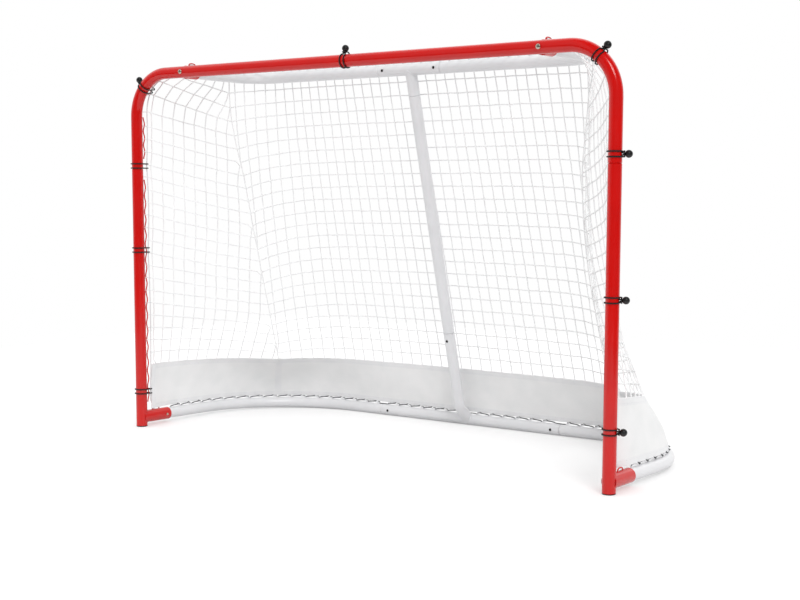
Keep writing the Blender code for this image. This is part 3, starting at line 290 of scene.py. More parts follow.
def steel_tube(path, start, end):
    """A hollow tube along the path; start and end say how its two ends are finished."""
    tail, tail_radii = end(path)
    head, head_radii = start(path[::-1])
    points = head[::-1] + path[1:-1] + tail
    radii = head_radii[::-1] + [TUBE_R] * (len(path) - 2) + tail_radii
    mesh = swept("tube", points, radii, TUBE_SIDES, capped=False)
    return settled(mesh, "SOLIDIFY", thickness=TUBE_WALL, offset=-1.0, use_rim=True)


def drill(start, end, radius, sides=TUBE_SIDES):
    """A straight round tool that cuts a bore or a hole."""
    return swept("drill", [start, end], radius, sides)


def post_point(side, z):
    return Vector((side * POST_X, FRONT_Y, z))


def shelf_end(side):
    """Where the axes of the shelf tube and the crossbar cross."""
    return Vector((side * SHELF_X, FRONT_Y, TOP_Z))


red_coat = powder_coat("red_powder_coat", "#CB0904", "#C20704", 0.17)
for label, side in SIDES:
    seam = Vector((CROSSBAR_SEAM_X + side * GAP / 2, FRONT_Y, TOP_Z))
    path = rounded_path(
        [seam, post_point(side, TOP_Z), post_point(side, POST_SEAM_HEIGHT + GAP / 2)], TOP_BEND_RADIUS)
    tube = steel_tube(path, drawn_in if side > 0 else sawn, drawn_in)
    centre = shelf_end(side)
    hole = drill(
        centre - BACK * 2 * TUBE_R, centre + BACK * 2 * TUBE_R, BOLT_R + HOLE_CLEARANCE, HOLE_SIDES)
    tube = shaped(tube, "DIFFERENCE", hole)
    piece(f"hoop_corner_{label}", tube, red_coat, "red_enamel", f"upper_corner_{label}")

# Lower posts
# Each post ends on the ground and carries a short red socket, welded on, that the base rail
# slides into. A bent wire eye is welded on top of the socket.

UP = Vector((0, 0, 1))
INWARD = {-1: Vector((1, 0, 0)), 1: Vector((-1, 0, 0))}
REAR_Y = BASE_DEPTH / 2
WIRE_SIDES = 12
POST_FOOT_Z = 0.0028
CAD_TUBE_SIDES = 16
BASE_Z = TUBE_R * math.cos(math.pi / CAD_TUBE_SIDES)
BASE_SOCKET_HEIGHT = 0.033
BASE_SOCKET_LENGTH = 0.122
BASE_EYELET_SETBACK = 0.066
SOCKET_BORE_R = TUBE_R + 0.0009
SOCKET_R = SOCKET_BORE_R + 0.0015
EYELET_LENGTH = 0.030
EYELET_HEIGHT = 0.010
EYELET_WIRE_R = 0.002
EYELET_STEPS = 16
EYELET_FLATNESS = 0.8
EYELET_FULLNESS = 0.7
BUTTON_SETBACK = 0.101
BUTTON_R = 0.004
BUTTON_HOLE_SIDES = 24
WELD_R = 0.0017
WELD_STEPS = 96
WELD_SIDES = 10
WELD_RIPPLES = 48
WELD_RIPPLE_SHARE = 0.12


def gathered(name, *meshes):
    """Several meshes as one, such as a tube and the weld that lies on it."""
    form = bmesh.new()
    for mesh in meshes:
        form.from_mesh(mesh)
    return as_mesh(name, form)


def bar(start, end, radius):
    """A straight round bar whose two edges are broken."""
    ahead = (end - start).normalized() * SAWN_EDGE
    points = [start, start + ahead, end - ahead, end]
    return swept("bar", points, [radius - SAWN_EDGE, radius, radius, radius - SAWN_EDGE], TUBE_SIDES)


def base_point(x, y):
    """A point on the base tube's axis, which slopes from the sockets down to the rear bar."""
    share = (y - FRONT_Y) / BASE_DEPTH
    return Vector((x, y, BASE_SOCKET_HEIGHT + (BASE_Z - BASE_SOCKET_HEIGHT) * share))


def button_seat(side):
    return base_point(side * POST_X, FRONT_Y + BUTTON_SETBACK)


def button_hole(side):
    seat = button_seat(side)
    return drill(seat, seat + INWARD[side] * 2 * TUBE_R, BUTTON_R + HOLE_CLEARANCE, BUTTON_HOLE_SIDES)


def eyelet(foot, along, rise):
    """A low arch of wire whose feet are welded into the tube below it."""
    points = []
    for step in range(EYELET_STEPS + 1):
        turn = math.pi * step / EYELET_STEPS
        flat = math.copysign(abs(math.cos(turn)) ** EYELET_FLATNESS, math.cos(turn))
        height = (EYELET_HEIGHT - EYELET_WIRE_R) * math.sin(turn) ** EYELET_FULLNESS
        points.append(foot - along * flat * EYELET_LENGTH / 2 + rise * height)
    points.insert(0, points[0] - rise * EYELET_WIRE_R)
    points.append(points[-1] - rise * EYELET_WIRE_R)
    return swept("eyelet", points, EYELET_WIRE_R, WIRE_SIDES)


def weld_bead(bar_point, bar_heading, bar_r, stub_heading, stub_r):
    """The rippled ring of weld where a stub leaves the round of another tube."""
    a = stub_heading.orthogonal().normalized()
    b = stub_heading.cross(a)
    climb = stub_heading - bar_heading * stub_heading.dot(bar_heading)
    points = []
    radii = []
    for step in range(WELD_STEPS):
        turn = 2 * math.pi * step / WELD_STEPS
        start = (a * math.cos(turn) + b * math.sin(turn)) * stub_r
        flat = start - bar_heading * start.dot(bar_heading)
        lean = flat.dot(climb)
        reach = lean ** 2 - climb.length_squared * (flat.length_squared - bar_r ** 2)
        out = (math.sqrt(max(0.0, reach)) - lean) / climb.length_squared
        points.append(bar_point + start + stub_heading * out)
        radii.append(WELD_R * (1 + WELD_RIPPLE_SHARE * math.cos(WELD_RIPPLES * turn)))
    return swept("weld", points, radii, WELD_SIDES, closed=True)


along = (base_point(0, REAR_Y) - base_point(0, FRONT_Y)).normalized()
rise = along.cross(Vector((-1, 0, 0)))
for label, side in SIDES:
    foot, head = post_point(side, POST_FOOT_Z), post_point(side, POST_SEAM_HEIGHT - GAP / 2)
    start = base_point(side * POST_X, FRONT_Y)
    end = start + along * BASE_SOCKET_LENGTH
    eye = eyelet(start + along * BASE_EYELET_SETBACK + rise * SOCKET_R, along, rise)
    post = shaped(bar(foot, head, TUBE_R), "UNION", bar(start, end, SOCKET_R), eye)
    bore = drill(foot - UP * TUBE_R, head + UP * TUBE_R, BORE_R)
    mouth = drill(start + along * (TUBE_R + GAP), end + along * TUBE_R, SOCKET_BORE_R)
    post = shaped(post, "DIFFERENCE", bore, mouth, button_hole(side))
    post = gathered("post", post, weld_bead(start, UP, TUBE_R, along, SOCKET_R))
    piece(f"post_{label}", post, red_coat, "red_enamel", f"lower_post_{label}")

# Foot caps
# Ribbed black polyethylene plugs close the posts and stand on the ground: moulded, with a flat
# flange as wide as the tube and a slightly domed face. Scuffs catch light on their low sheen.

CAP_FLANGE = 0.0025
CAP_PLUG = 0.016
CAP_STEM_R = BORE_R - 0.0008
CAP_TIP_R = BORE_R - 0.002
CAP_RIBS = 3
CAP_RIB_START = 0.003
CAP_RIB_PITCH = 0.004
CAP_BEVEL = 0.001


def turned(name, origin, heading, profile, sides):
    """A turned piece: the profile is (distance along the heading, radius)."""
    points = [origin + heading * mark for mark, radius in profile]
    return swept(name, points, [radius for mark, radius in profile], sides)


black_plastic = hard_finish(
    "moulded_black_polyethylene", ("#0D0D0E", "#262628"), 0.42, cloud=(0.009, 9.0, 0.55, 0.8),
    wear=(0.009, 9.0, 0.0, 1.0), gloss=(-0.1, 0.2), grain=(0.0008, 3.0), relief=(0.25, 0.0001),
    values={"IOR": 1.51})
cap_top = CAP_FLANGE + CAP_PLUG
profile = [(0.0, 0.0), (0.0, TUBE_R - 0.0012), (0.0004, TUBE_R - 0.0003), (0.0010, TUBE_R)]
profile += [(CAP_FLANGE - SAWN_EDGE, TUBE_R), (CAP_FLANGE, TUBE_R - SAWN_EDGE), (CAP_FLANGE, CAP_STEM_R)]
for rib in range(CAP_RIBS):
    mark = CAP_FLANGE + CAP_RIB_START + rib * CAP_RIB_PITCH
    profile += [(mark, CAP_STEM_R), (mark + CAP_BEVEL, BORE_R - GAP), (mark + 2 * CAP_BEVEL, CAP_STEM_R)]
profile += [(cap_top - CAP_BEVEL, CAP_STEM_R), (cap_top, CAP_TIP_R), (cap_top, 0.0)]
for label, side in SIDES:
    cap = turned("cap", post_point(side, 0), UP, profile, TUBE_SIDES)
    piece(f"foot_cap_moulding_{label}", cap, black_plastic, "black_plastic", f"foot_cap_{label}")

# Shelf sockets
# A short red socket is saddled to the back of the crossbar at each end of the shelf. Its front
# end is plugged and takes the bolt; a wire eye on top ties the net's corner.

SHELF_SOCKET_LENGTH = 0.056
SHELF_SOCKET_PLUG = 0.008
SHELF_EYELET_SETBACK = 0.038
SADDLE_START = TUBE_R * 0.4

plug_end = TUBE_R + GAP + SHELF_SOCKET_PLUG
across = Vector((2 * TUBE_R, 0, 0))
for label, side in SIDES:
    centre = shelf_end(side)
    socket = bar(centre + BACK * SADDLE_START, centre + BACK * SHELF_SOCKET_LENGTH, SOCKET_R)
    eye = eyelet(centre + BACK * SHELF_EYELET_SETBACK + UP * SOCKET_R, BACK, UP)
    saddle = drill(centre - across, centre + across, TUBE_R + GAP)
    bore = drill(centre + BACK * plug_end, centre + BACK * 2 * SHELF_SOCKET_LENGTH, SOCKET_BORE_R)
    hole = drill(centre, centre + BACK * (plug_end + TUBE_R), BOLT_R + HOLE_CLEARANCE, HOLE_SIDES)
    socket = shaped(shaped(socket, "UNION", eye), "DIFFERENCE", saddle, bore, hole)
    piece(f"shelf_socket_tube_{label}", socket, red_coat, "red_enamel", f"shelf_socket_{label}")

# Shelf rails
# White powder-coated tube, the same 38 mm, carries the top of the net back from the crossbar.
# Two bent rails slide into the sockets in front and into a middle tee, with a screw at each seam.

SHELF_DEPTH = 0.340
SHELF_BEND_RADIUS = 0.100
SHELF_SEAM_X = 0.120
SHELF_SCREW_X = 0.100
SCREW_R = 0.00225
STUB_FIT = 0.998
SUPPORT_SLOPE = 0.268
SUPPORT_UPPER_SEAM_HEIGHT = TOP_Z - 0.080
SHELF_Y = FRONT_Y + SHELF_DEPTH


def support_point(z):
    """The straight part of the support tube's axis at a height."""
    return Vector((0, SHELF_Y + SUPPORT_SLOPE * (TOP_Z - z), z))


def screw_hole(centre, outward=-BACK):
    """A hole through the near wall of a tube."""
    return drill(centre + outward * 2 * TUBE_R, centre, SCREW_R + HOLE_CLEARANCE, HOLE_SIDES)


def tee(end, stub_path, holes):
    """A length of tube with a stub welded into its side; both are bored through."""
    start = Vector((-end.x, end.y, end.z))
    heading = (end - start).normalized()
    leaving = (stub_path[1] - stub_path[0]).normalized()
    beyond = (stub_path[-1] - stub_path[-2]).normalized() * TUBE_R
    stub = swept("stub", stub_path, TUBE_R * STUB_FIT, TUBE_SIDES)
    bore = drill(start - heading * TUBE_R, end + heading * TUBE_R, BORE_R)
    stub_bore = swept("bore", stub_path[:-1] + [stub_path[-1] + beyond], BORE_R * STUB_FIT, TUBE_SIDES)
    body = shaped(bar(start, end, TUBE_R), "UNION", stub)
    weld = weld_bead(stub_path[0], heading, TUBE_R, leaving, TUBE_R)
    return gathered("tee", shaped(body, "DIFFERENCE", bore, stub_bore, *holes), weld)


white_coat = powder_coat("white_powder_coat", "#E3E3E5", "#DCDDDF", 0.28)
shelf_screws = [Vector((side * SHELF_SCREW_X, SHELF_Y, TOP_Z)) for label, side in SIDES]
holes = [screw_hole(seat) for seat in shelf_screws]
for (label, side), hole in zip(SIDES, holes):
    corners = [
        shelf_end(side) + BACK * (plug_end + GAP),
        Vector((side * SHELF_X, SHELF_Y, TOP_Z)),
        Vector((side * (SHELF_SEAM_X + GAP / 2), SHELF_Y, TOP_Z))]
    tube = shaped(steel_tube(rounded_path(corners, SHELF_BEND_RADIUS), sawn, drawn_in), "DIFFERENCE", hole)
    piece(f"shelf_rail_{label}", tube, white_coat, "white_enamel", f"shelf_corner_{label}")
stub_path = [support_point(TOP_Z), support_point(SUPPORT_UPPER_SEAM_HEIGHT + GAP / 2)]
middle = tee(Vector((SHELF_SEAM_X - GAP / 2, SHELF_Y, TOP_Z)), stub_path, holes)
piece("shelf_tee", middle, white_coat, "white_enamel", "shelf_middle")

# Support tube
# One straight white tube leans back from the shelf to the rear bar. Both of its ends are drawn
# in and slide into stubs; one screw holds it at the foot.

SUPPORT_LOWER_SEAM_HEIGHT = 0.335
SUPPORT_SCREW_HEIGHT = 0.310

heights = (SUPPORT_UPPER_SEAM_HEIGHT - GAP / 2, 0.7, SUPPORT_LOWER_SEAM_HEIGHT + GAP / 2)
support_heading = (support_point(0.0) - support_point(1.0)).normalized()
support_screw_outward = support_heading.cross(Vector((1, 0, 0)))
support_hole = screw_hole(support_point(SUPPORT_SCREW_HEIGHT), support_screw_outward)
tube = steel_tube([support_point(height) for height in heights], drawn_in, drawn_in)
piece(
    "support_tube", shaped(tube, "DIFFERENCE", support_hole), white_coat, "white_enamel", "support_upper")

# Base
# Two white rails sweep round the floor on wide bends from the post sockets to a straight rear
# bar, which carries the support's lower stub. A screw holds each seam.

BASE_BEND_RADIUS = 0.400
BASE_SEAM_X = 0.368
BASE_SCREW_X = 0.337
SUPPORT_FOOT_HEIGHT = 0.070
SUPPORT_BEND_RADIUS = 0.060


def rear_point(x):
    return Vector((x, REAR_Y, BASE_Z))


def base_rail_path(side):
    corners = [
        base_point(side * POST_X, FRONT_Y + TUBE_R + 4 * GAP),
        base_point(side * POST_X, REAR_Y),
        rear_point(side * (BASE_SEAM_X + GAP / 2))]
    return rounded_path(corners, BASE_BEND_RADIUS)


base_screws = [rear_point(side * BASE_SCREW_X) for label, side in SIDES]
holes = [screw_hole(seat) for seat in base_screws]
for (label, side), hole in zip(SIDES, holes):
    tube = steel_tube(base_rail_path(side), sawn, drawn_in)
    tube = shaped(tube, "DIFFERENCE", button_hole(side), hole)
    piece(f"base_rail_{label}", tube, white_coat, "white_enamel", f"base_corner_{label}")
stub_path = rounded_path([
    rear_point(0), support_point(SUPPORT_FOOT_HEIGHT),
    support_point(SUPPORT_LOWER_SEAM_HEIGHT - GAP / 2)], SUPPORT_BEND_RADIUS)
middle = tee(rear_point(BASE_SEAM_X - GAP / 2), stub_path, [support_hole] + holes)
piece("base_tee", middle, white_coat, "white_enamel", "base_middle")

# Bolts and screws
# Zinc-plated carriage bolts hold the shelf sockets to the crossbar, and black oxide pan-head
# screws with a cross recess hold the seams. The screws are one model, set at each place.

QUARTER = math.pi / 2
HEAD_SIDES = 32
BOLT_HEAD_R = 0.0075
BOLT_HEAD_HEIGHT = 0.0045
SCREW_HEAD_R = 0.0045
SCREW_HEAD_HEIGHT = 0.0025
SCREW_GRIP = 0.008
SCREW_SIDES = 24
THREAD_PITCH = 0.0016
THREAD_ROOT_R = SCREW_R * 0.78
RECESS_WIDTH = 0.0011
RECESS_SPAN = 0.0048
RECESS_MIDDLE = SCREW_HEAD_HEIGHT * 1.15
HEAD_STEPS = 8


def plated_metal(name, colour, stain, roughness):
    """Plated or blackened steel: satin from fine tumbling, with a cloudy film."""
    return hard_finish(
        name, (colour, stain), roughness, cloud=(0.004, 5.0, 0.0, 1.0), wear=(0.0006, 2.0, 0.0, 1.0),
        gloss=(-0.08, 0.14), grain=(0.0006, 2.0), relief=(0.2, 0.00005), values={"Metallic": 1.0})


def domed(head_r, height, shank):
    """Profile of a round head from its crown to its rim, then its shank."""
    turns = [QUARTER * step / HEAD_STEPS for step in range(HEAD_STEPS + 1)]
    return [(height * math.cos(turn), head_r * math.sin(turn)) for turn in turns] + shank


def new_tree(name, inputs):
    """A Geometry Nodes tree that takes a mesh, the named inputs and a material."""
    tree = bpy.data.node_groups.new(name, "GeometryNodeTree")
    for label, kind in {"Geometry": "Geometry", **inputs, "Material": "Material"}.items():
        tree.interface.new_socket(label, in_out="INPUT", socket_type=f"NodeSocket{kind}")
    tree.interface.new_socket("Geometry", in_out="OUTPUT", socket_type="NodeSocketGeometry")
    return tree, add_node(tree, "NodeGroupInput").outputs


def close_tree(tree, geometry, given):
    """End a tree with real geometry in its material."""
    real = add_node(tree, "GeometryNodeRealizeInstances", {"Geometry": geometry})
    coloured = add_node(tree, "GeometryNodeSetMaterial", {"Geometry": real, "Material": given["Material"]})
    add_node(tree, "NodeGroupOutput", {"Geometry": coloured})


zinc = plated_metal("bright_zinc_plate", "#CFC7B4", "#B4AFA3", 0.26)
black_oxide = plated_metal("black_oxide_steel", "#2B2B2C", "#3C3A38", 0.42)
shank_length = 2 * TUBE_R + GAP + SHELF_SOCKET_PLUG
shank = [(0.0, BOLT_R), (-shank_length, BOLT_R), (-shank_length, 0.0)]
for label, side in SIDES:
    profile = domed(BOLT_HEAD_R, BOLT_HEAD_HEIGHT, shank)
    bolt = turned("bolt", shelf_end(side) - BACK * (TUBE_R + GAP), -BACK, profile, HEAD_SIDES)
    piece(f"carriage_bolt_{label}", bolt, zinc, "zinc", f"crossbar_bolt_{label}")

shank = [(0.0, SCREW_R)]
for turn in range(int(SCREW_GRIP / THREAD_PITCH)):
    mark = -turn * THREAD_PITCH
    shank += [(mark - THREAD_PITCH / 2, THREAD_ROOT_R), (mark - THREAD_PITCH, SCREW_R)]
shank.append((-SCREW_GRIP, 0.0))
screw = turned("screw", Vector((0, 0, 0)), UP, domed(SCREW_HEAD_R, SCREW_HEAD_HEIGHT, shank), SCREW_SIDES)
for width, span in ((RECESS_WIDTH, RECESS_SPAN), (RECESS_SPAN, RECESS_WIDTH)):
    form = bmesh.new()
    bmesh.ops.create_cube(form, size=1.0)
    recess = as_mesh("recess", form)
    recess.transform(Matrix.Diagonal((width, span, SCREW_HEAD_HEIGHT, 1)))
    recess.transform(Matrix.Translation((0, 0, RECESS_MIDDLE)))
    screw = shaped(screw, "DIFFERENCE", recess)
screw_model = bpy.data.objects.new("screw_model", screw)

tree, given = new_tree("set_screws", {"Screw": "Object"})
model = add_node(tree, "GeometryNodeObjectInfo", {"Object": given["Screw"]}).outputs["Geometry"]
outward = add_node(tree, "GeometryNodeInputNamedAttribute", {"Name": "outward"}, data_type="FLOAT_VECTOR")
lean = add_node(tree, "FunctionNodeAlignRotationToVector", {"Vector": outward}, axis="Z")
screws = add_node(
    tree, "GeometryNodeInstanceOnPoints", {"Points": given["Geometry"], "Instance": model, "Rotation": lean})
close_tree(tree, screws, given)

seats = [(support_point(SUPPORT_SCREW_HEIGHT), support_screw_outward)]
for pair in zip(shelf_screws, base_screws):
    seats += [(seat, -BACK) for seat in pair]
mesh = bpy.data.meshes.new("screw_seats")
mesh.from_pydata([centre + outward * (TUBE_R + GAP) for centre, outward in seats], [], [])
headings = mesh.attributes.new("outward", "FLOAT_VECTOR", "POINT")
for place, (centre, outward) in zip(headings.data, seats):
    place.vector = outward
mesh = settled(mesh, "NODES", {"Screw": screw_model, "Material": black_oxide}, node_group=tree)
nodes = [f"{place}_screw_{label}" for place in ("shelf", "base") for label, side in SIDES]
piece("seam_screws", mesh, black_oxide, "black_steel", "support_screw", *nodes)
bpy.data.objects.remove(screw_model)

# Snap buttons
# A sprung steel button locks each base rail in its socket. A bent leaf inside the rail pushes
# it out, and a thumb presses it in to take the goal apart.

BUTTON_FLANGE_R = 0.0058
BUTTON_FLANGE_THICKNESS = 0.0015
BUTTON_PROUD = 0.003
BUTTON_SEAT = 0.0157
LEAF_WIDTH = 0.010
LEAF_THICKNESS = 0.0008
LEAF_LENGTH = 0.047
LEAF_BEND_RADIUS = 0.004
LEAF_CLEARANCE = 0.001
BUTTON_DOME = BUTTON_R * 0.4

spring_steel = plated_metal("tempered_spring_steel", "#8F9094", "#6F6A66", 0.30)
tip = SOCKET_R + BUTTON_PROUD
flange_end = BUTTON_SEAT - BUTTON_FLANGE_THICKNESS
turns = [QUARTER * step / HEAD_STEPS for step in range(HEAD_STEPS + 1)]
profile = [(tip - BUTTON_DOME * (1 - math.cos(turn)), BUTTON_R * math.sin(turn)) for turn in turns]
profile += [(BUTTON_SEAT, BUTTON_R), (BUTTON_SEAT, BUTTON_FLANGE_R)]
profile += [(flange_end, BUTTON_FLANGE_R), (flange_end, 0.0)]
near = flange_end - GAP - LEAF_THICKNESS / 2
far = math.sqrt((BORE_R - LEAF_CLEARANCE) ** 2 - (LEAF_WIDTH / 2) ** 2) - LEAF_THICKNESS
leaf_corners = (
    (near, -0.010), (near, 0.008), (near * 0.9, 0.018), (near * 0.25, LEAF_LENGTH),
    (-far, LEAF_LENGTH * 0.75), (-far, 0))
outline = rounded_path([Vector((reach, back, 0)) for reach, back in leaf_corners], LEAF_BEND_RADIUS)
for label, side in SIDES:
    inward = INWARD[side]
    centre = button_seat(side)
    button = turned("button", centre, inward, profile, HEAD_SIDES)
    piece(f"button_{label}_turned", button, zinc, "zinc", f"snap_button_{label}", body=f"button_{label}")
    form = bmesh.new()
    lower, upper = [
        [form.verts.new(centre + inward * p.x + BACK * p.y + UP * half) for p in outline]
        for half in (-LEAF_WIDTH / 2, LEAF_WIDTH / 2)]
    for quad in zip(lower, lower[1:], upper[1:], upper):
        form.faces.new(quad)
    bmesh.ops.recalc_face_normals(form, faces=form.faces)
    leaf = settled(as_mesh("leaf", form), "SOLIDIFY", thickness=LEAF_THICKNESS, offset=0.0)
    spring = piece(
        f"leaf_spring_{label}", leaf, spring_steel, "spring_steel", f"snap_spring_{label}", body=None)
    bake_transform(spring)

# Lacing rods
# Wavy 4 mm wire is welded along the back of the posts and the top of the base at its troughs.
# The net and the skirt are laced to its crests; it is coated with the tube that carries it.

ROD_R = 0.002
ROD_PITCH = 0.054
ROD_WAVE = 0.004
ROD_STEPS = 12.0
ROD_SPACING = 0.01
ROD_TROUGH = TUBE_R + GAP + ROD_R
ROD_CREST = ROD_TROUGH + ROD_WAVE + ROD_R
POST_ROD_START = 0.085
POST_ROD_SEAM_MARGIN = 0.035
BASE_ROD_START = 0.115
BASE_ROD_SEAM_MARGIN = 0.018
SUPPORT_ROD_MARGIN = 0.034

rod_tree, given = new_tree(
    "wavy_rod", {"Rise": "Vector", "Trough": "Float", "Wave": "Float", "Waves": "Float", "Radius": "Float"})
line = add_node(rod_tree, "GeometryNodeMeshToCurve", {"Mesh": given["Geometry"]})
count = add_node(
    rod_tree, "ShaderNodeMath", {0: given["Waves"], 1: ROD_STEPS, 2: 1.0}, operation="MULTIPLY_ADD")
line = add_node(rod_tree, "GeometryNodeResampleCurve", {"Curve": line, "Count": count})
share = add_node(rod_tree, "GeometryNodeSplineParameter")
turns = add_node(rod_tree, "ShaderNodeMath", {0: share, 1: given["Waves"]}, operation="MULTIPLY")
angle = add_node(rod_tree, "ShaderNodeMath", {0: turns, 1: 2 * math.pi}, operation="MULTIPLY")
swing = add_node(rod_tree, "ShaderNodeMath", {0: angle}, operation="COSINE")
lift = add_node(rod_tree, "ShaderNodeMath", {0: swing, 1: -0.5, 2: 0.5}, operation="MULTIPLY_ADD")
height = add_node(
    rod_tree, "ShaderNodeMath", {0: lift, 1: given["Wave"], 2: given["Trough"]}, operation="MULTIPLY_ADD")
offset = add_node(rod_tree, "ShaderNodeVectorMath", {0: given["Rise"], "Scale": height}, operation="SCALE")
line = add_node(rod_tree, "GeometryNodeSetPosition", {"Geometry": line, "Offset": offset})
ring = add_node(
    rod_tree, "GeometryNodeCurvePrimitiveCircle", {"Resolution": WIRE_SIDES, "Radius": given["Radius"]})
wire = add_node(
    rod_tree, "GeometryNodeCurveToMesh", {"Curve": line, "Profile Curve": ring, "Fill Caps": True})
close_tree(rod_tree, wire, given)


class Route:
    """A line through points that is read by the distance travelled along it."""

    def __init__(self, points):
        self.points = points
        self.marks = [0.0]
        for before, after in zip(points, points[1:]):
            self.marks.append(self.marks[-1] + (after - before).length)
        self.length = self.marks[-1]

    def at(self, distance):
        for index in range(1, len(self.points)):
            if distance <= self.marks[index] or index == len(self.points) - 1:
                span = self.marks[index] - self.marks[index - 1]
                share = (distance - self.marks[index - 1]) / span
                return self.points[index - 1].lerp(self.points[index], share)

    def heading(self, distance):
        step = 0.002
        return (self.at(distance + step) - self.at(distance - step)).normalized()

    def part(self, start, end, step):
        count = max(2, round((end - start) / step))
        return [self.at(start + (end - start) * k / count) for k in range(count + 1)]


def wire_line(name, points):
    """An open chain of edges through the points."""
    mesh = bpy.data.meshes.new(name)
    mesh.from_pydata(points, [(k, k + 1) for k in range(len(points) - 1)], [])
    return mesh


def base_bar_route(side):
    return Route([rear_point(0), rear_point(side * BASE_SEAM_X)])


BASE_ROD_END = BASE_SEAM_X - BASE_ROD_SEAM_MARGIN
for label, side in SIDES:
    post = Route([post_point(side, 0), post_point(side, TOP_Z)])
    rail = Route(base_rail_path(side))
    diagonal = (INWARD[side] + BACK).normalized()
    for carrier, place, route, start, end in (
            ("post", "lower", post, POST_ROD_START, POST_SEAM_HEIGHT - POST_ROD_SEAM_MARGIN),
            ("post", "upper", post, POST_SEAM_HEIGHT + POST_ROD_SEAM_MARGIN, BEND_Z),
            ("base", "corner", rail, BASE_ROD_START, rail.length - BASE_ROD_SEAM_MARGIN),
            ("base", "middle", base_bar_route(side), SUPPORT_ROD_MARGIN, BASE_ROD_END)):
        material, slot = (red_coat, "red_enamel") if carrier == "post" else (white_coat, "white_enamel")
        mesh = settled(wire_line("rod", route.part(start, end, ROD_SPACING)), "NODES", {
            "Rise": diagonal if carrier == "post" else UP, "Trough": ROD_TROUGH, "Wave": ROD_WAVE,
            "Waves": float(max(1, round((end - start) / ROD_PITCH))), "Radius": ROD_R, "Material": material,
        }, node_group=rod_tree)
        name = f"{carrier}_lacing_rod_{place}_{label}"
        piece(name, mesh, material, slot, f"{carrier}_rod_{place}_{label}")

# Netting
# A bag of white knotted polyester twine, 41 mm square mesh, hangs from the shelf and the hoop.
# Its tension draws in a crease on each side, and its rows droop towards that crease.

BEND_X = POST_X - TOP_BEND_RADIUS
MESH_SIZE = 0.041
TWINE_R = 0.0020
KNOT_R = 0.0028
TWIST_PITCH = 0.006
TWINE_SLACK = 0.0035
EDGE_ROPE_R = 0.0025
POST_ROPE_REACH = ROD_CREST + GAP + EDGE_ROPE_R
BAR_ROPE_REACH = TUBE_R + GAP + EDGE_ROPE_R
NET_REACH = SOCKET_R + GAP + 0.002
NET_LEAN = math.radians(73)
HEM_RISE = max(ROD_CREST, SOCKET_R) + 2 * GAP
SKIRT_FRONT_HEIGHT = {-1: 0.155, 1: 0.195}
SKIRT_BACK_HEIGHT = 0.155
SKIRT_BULGE = 0.5
SKIRT_BULGE_FADE = 0.30
SKIRT_SEAM_BOW = 0.024
HEM_SEAM_TURN = math.radians(45)
HEM_RUN_IN = 0.12
CREASE_X = 0.648
CREASE_SPREAD = 0.042
CREASE_LOW_Y = 0.125
CREASE_HIGH_Y = -0.108
CREASE_FADE = 0.320
CREASE_NARROWEST = 0.85
CREASE_HOLLOW = 1.9
NET_DROOP = 0.055
NET_DROOP_FULLNESS = 0.55
NET_ROWS = 24
STRAIGHT_ROWS = 0.82
TOP_MESH_SHARE = 0.90
BACK_STRAIGHT_SHARE = 0.57
BACK_STEPS = 28
SIDE_STEPS = 20
ROPE_BOW = 0.005
ROPE_BOW_SPAN = 0.25
ROPE_BOW_FULLNESS = 0.7
ROPE_POINTS = 90
ROPE_LEAD_IN = 12
LACED_FREE = 0.3
KNOTTED_FREE = 0.25
SEAM_FREE = 0.24
FIRST_COLUMN = 0.4
LAST_COLUMN = 0.25
LOOP_HEIGHTS = {
    -1: (GOAL_HEIGHT * 0.735, GOAL_HEIGHT * 0.501, 0.123),
    1: (GOAL_HEIGHT * 0.7465, GOAL_HEIGHT * 0.4305, 0.170)}
CORNER_LOOP_TURN = {-1: math.radians(45), 1: math.radians(50)}
BASE_STRAIGHT = POST_X - BASE_BEND_RADIUS


def between(share, shares, values):
    """Read a value off a broken line that passes through the given ones."""
    for index in range(1, len(shares)):
        if share <= shares[index] or index == len(shares) - 1:
            part = (share - shares[index - 1]) / (shares[index] - shares[index - 1])
            return values[index - 1] + (values[index] - values[index - 1]) * part


def rope_reach(turn):
    """How far behind the tube's axis the net's front edge lies: over the rods, then on the tube."""
    return POST_ROPE_REACH + (BAR_ROPE_REACH - POST_ROPE_REACH) * turn / QUARTER


def behind_bend(side, turn, reach):
    """A point behind the hoop's bend, from the post (0) to the crossbar (90 degrees)."""
    outward = Vector((side * math.cos(turn), 0, math.sin(turn)))
    centre = Vector((side * BEND_X, FRONT_Y, BEND_Z))
    lean = math.radians(45) + math.radians(45) * turn / QUARTER
    return centre + outward * TOP_BEND_RADIUS + (-outward * math.cos(lean) + BACK * math.sin(lean)) * reach


def bow(place, ties):
    """How far the edge rope hangs away from the tube between the ties that hold it."""
    for start, end in zip(ties, ties[1:]):
        if start <= place <= end:
            swell = math.sin(math.pi * (place - start) / (end - start)) ** ROPE_BOW_FULLNESS
            return ROPE_BOW * min(1.0, (end - start) / ROPE_BOW_SPAN) * swell
    return 0.0


def shelf_edge(side, lean=NET_LEAN):
    """Route of the net over the shelf tube, from the crossbar to the middle of the rear bar."""
    out = NET_REACH * math.sin(lean)
    height = TOP_Z + NET_REACH * math.cos(lean)
    corners = [
        Vector((side * (SHELF_X + out), FRONT_Y + BAR_ROPE_REACH, height)),
        Vector((side * (SHELF_X + out), SHELF_Y + out, height)),
        Vector((0, SHELF_Y + out, height))]
    return Route(rounded_path(corners, SHELF_BEND_RADIUS + out))


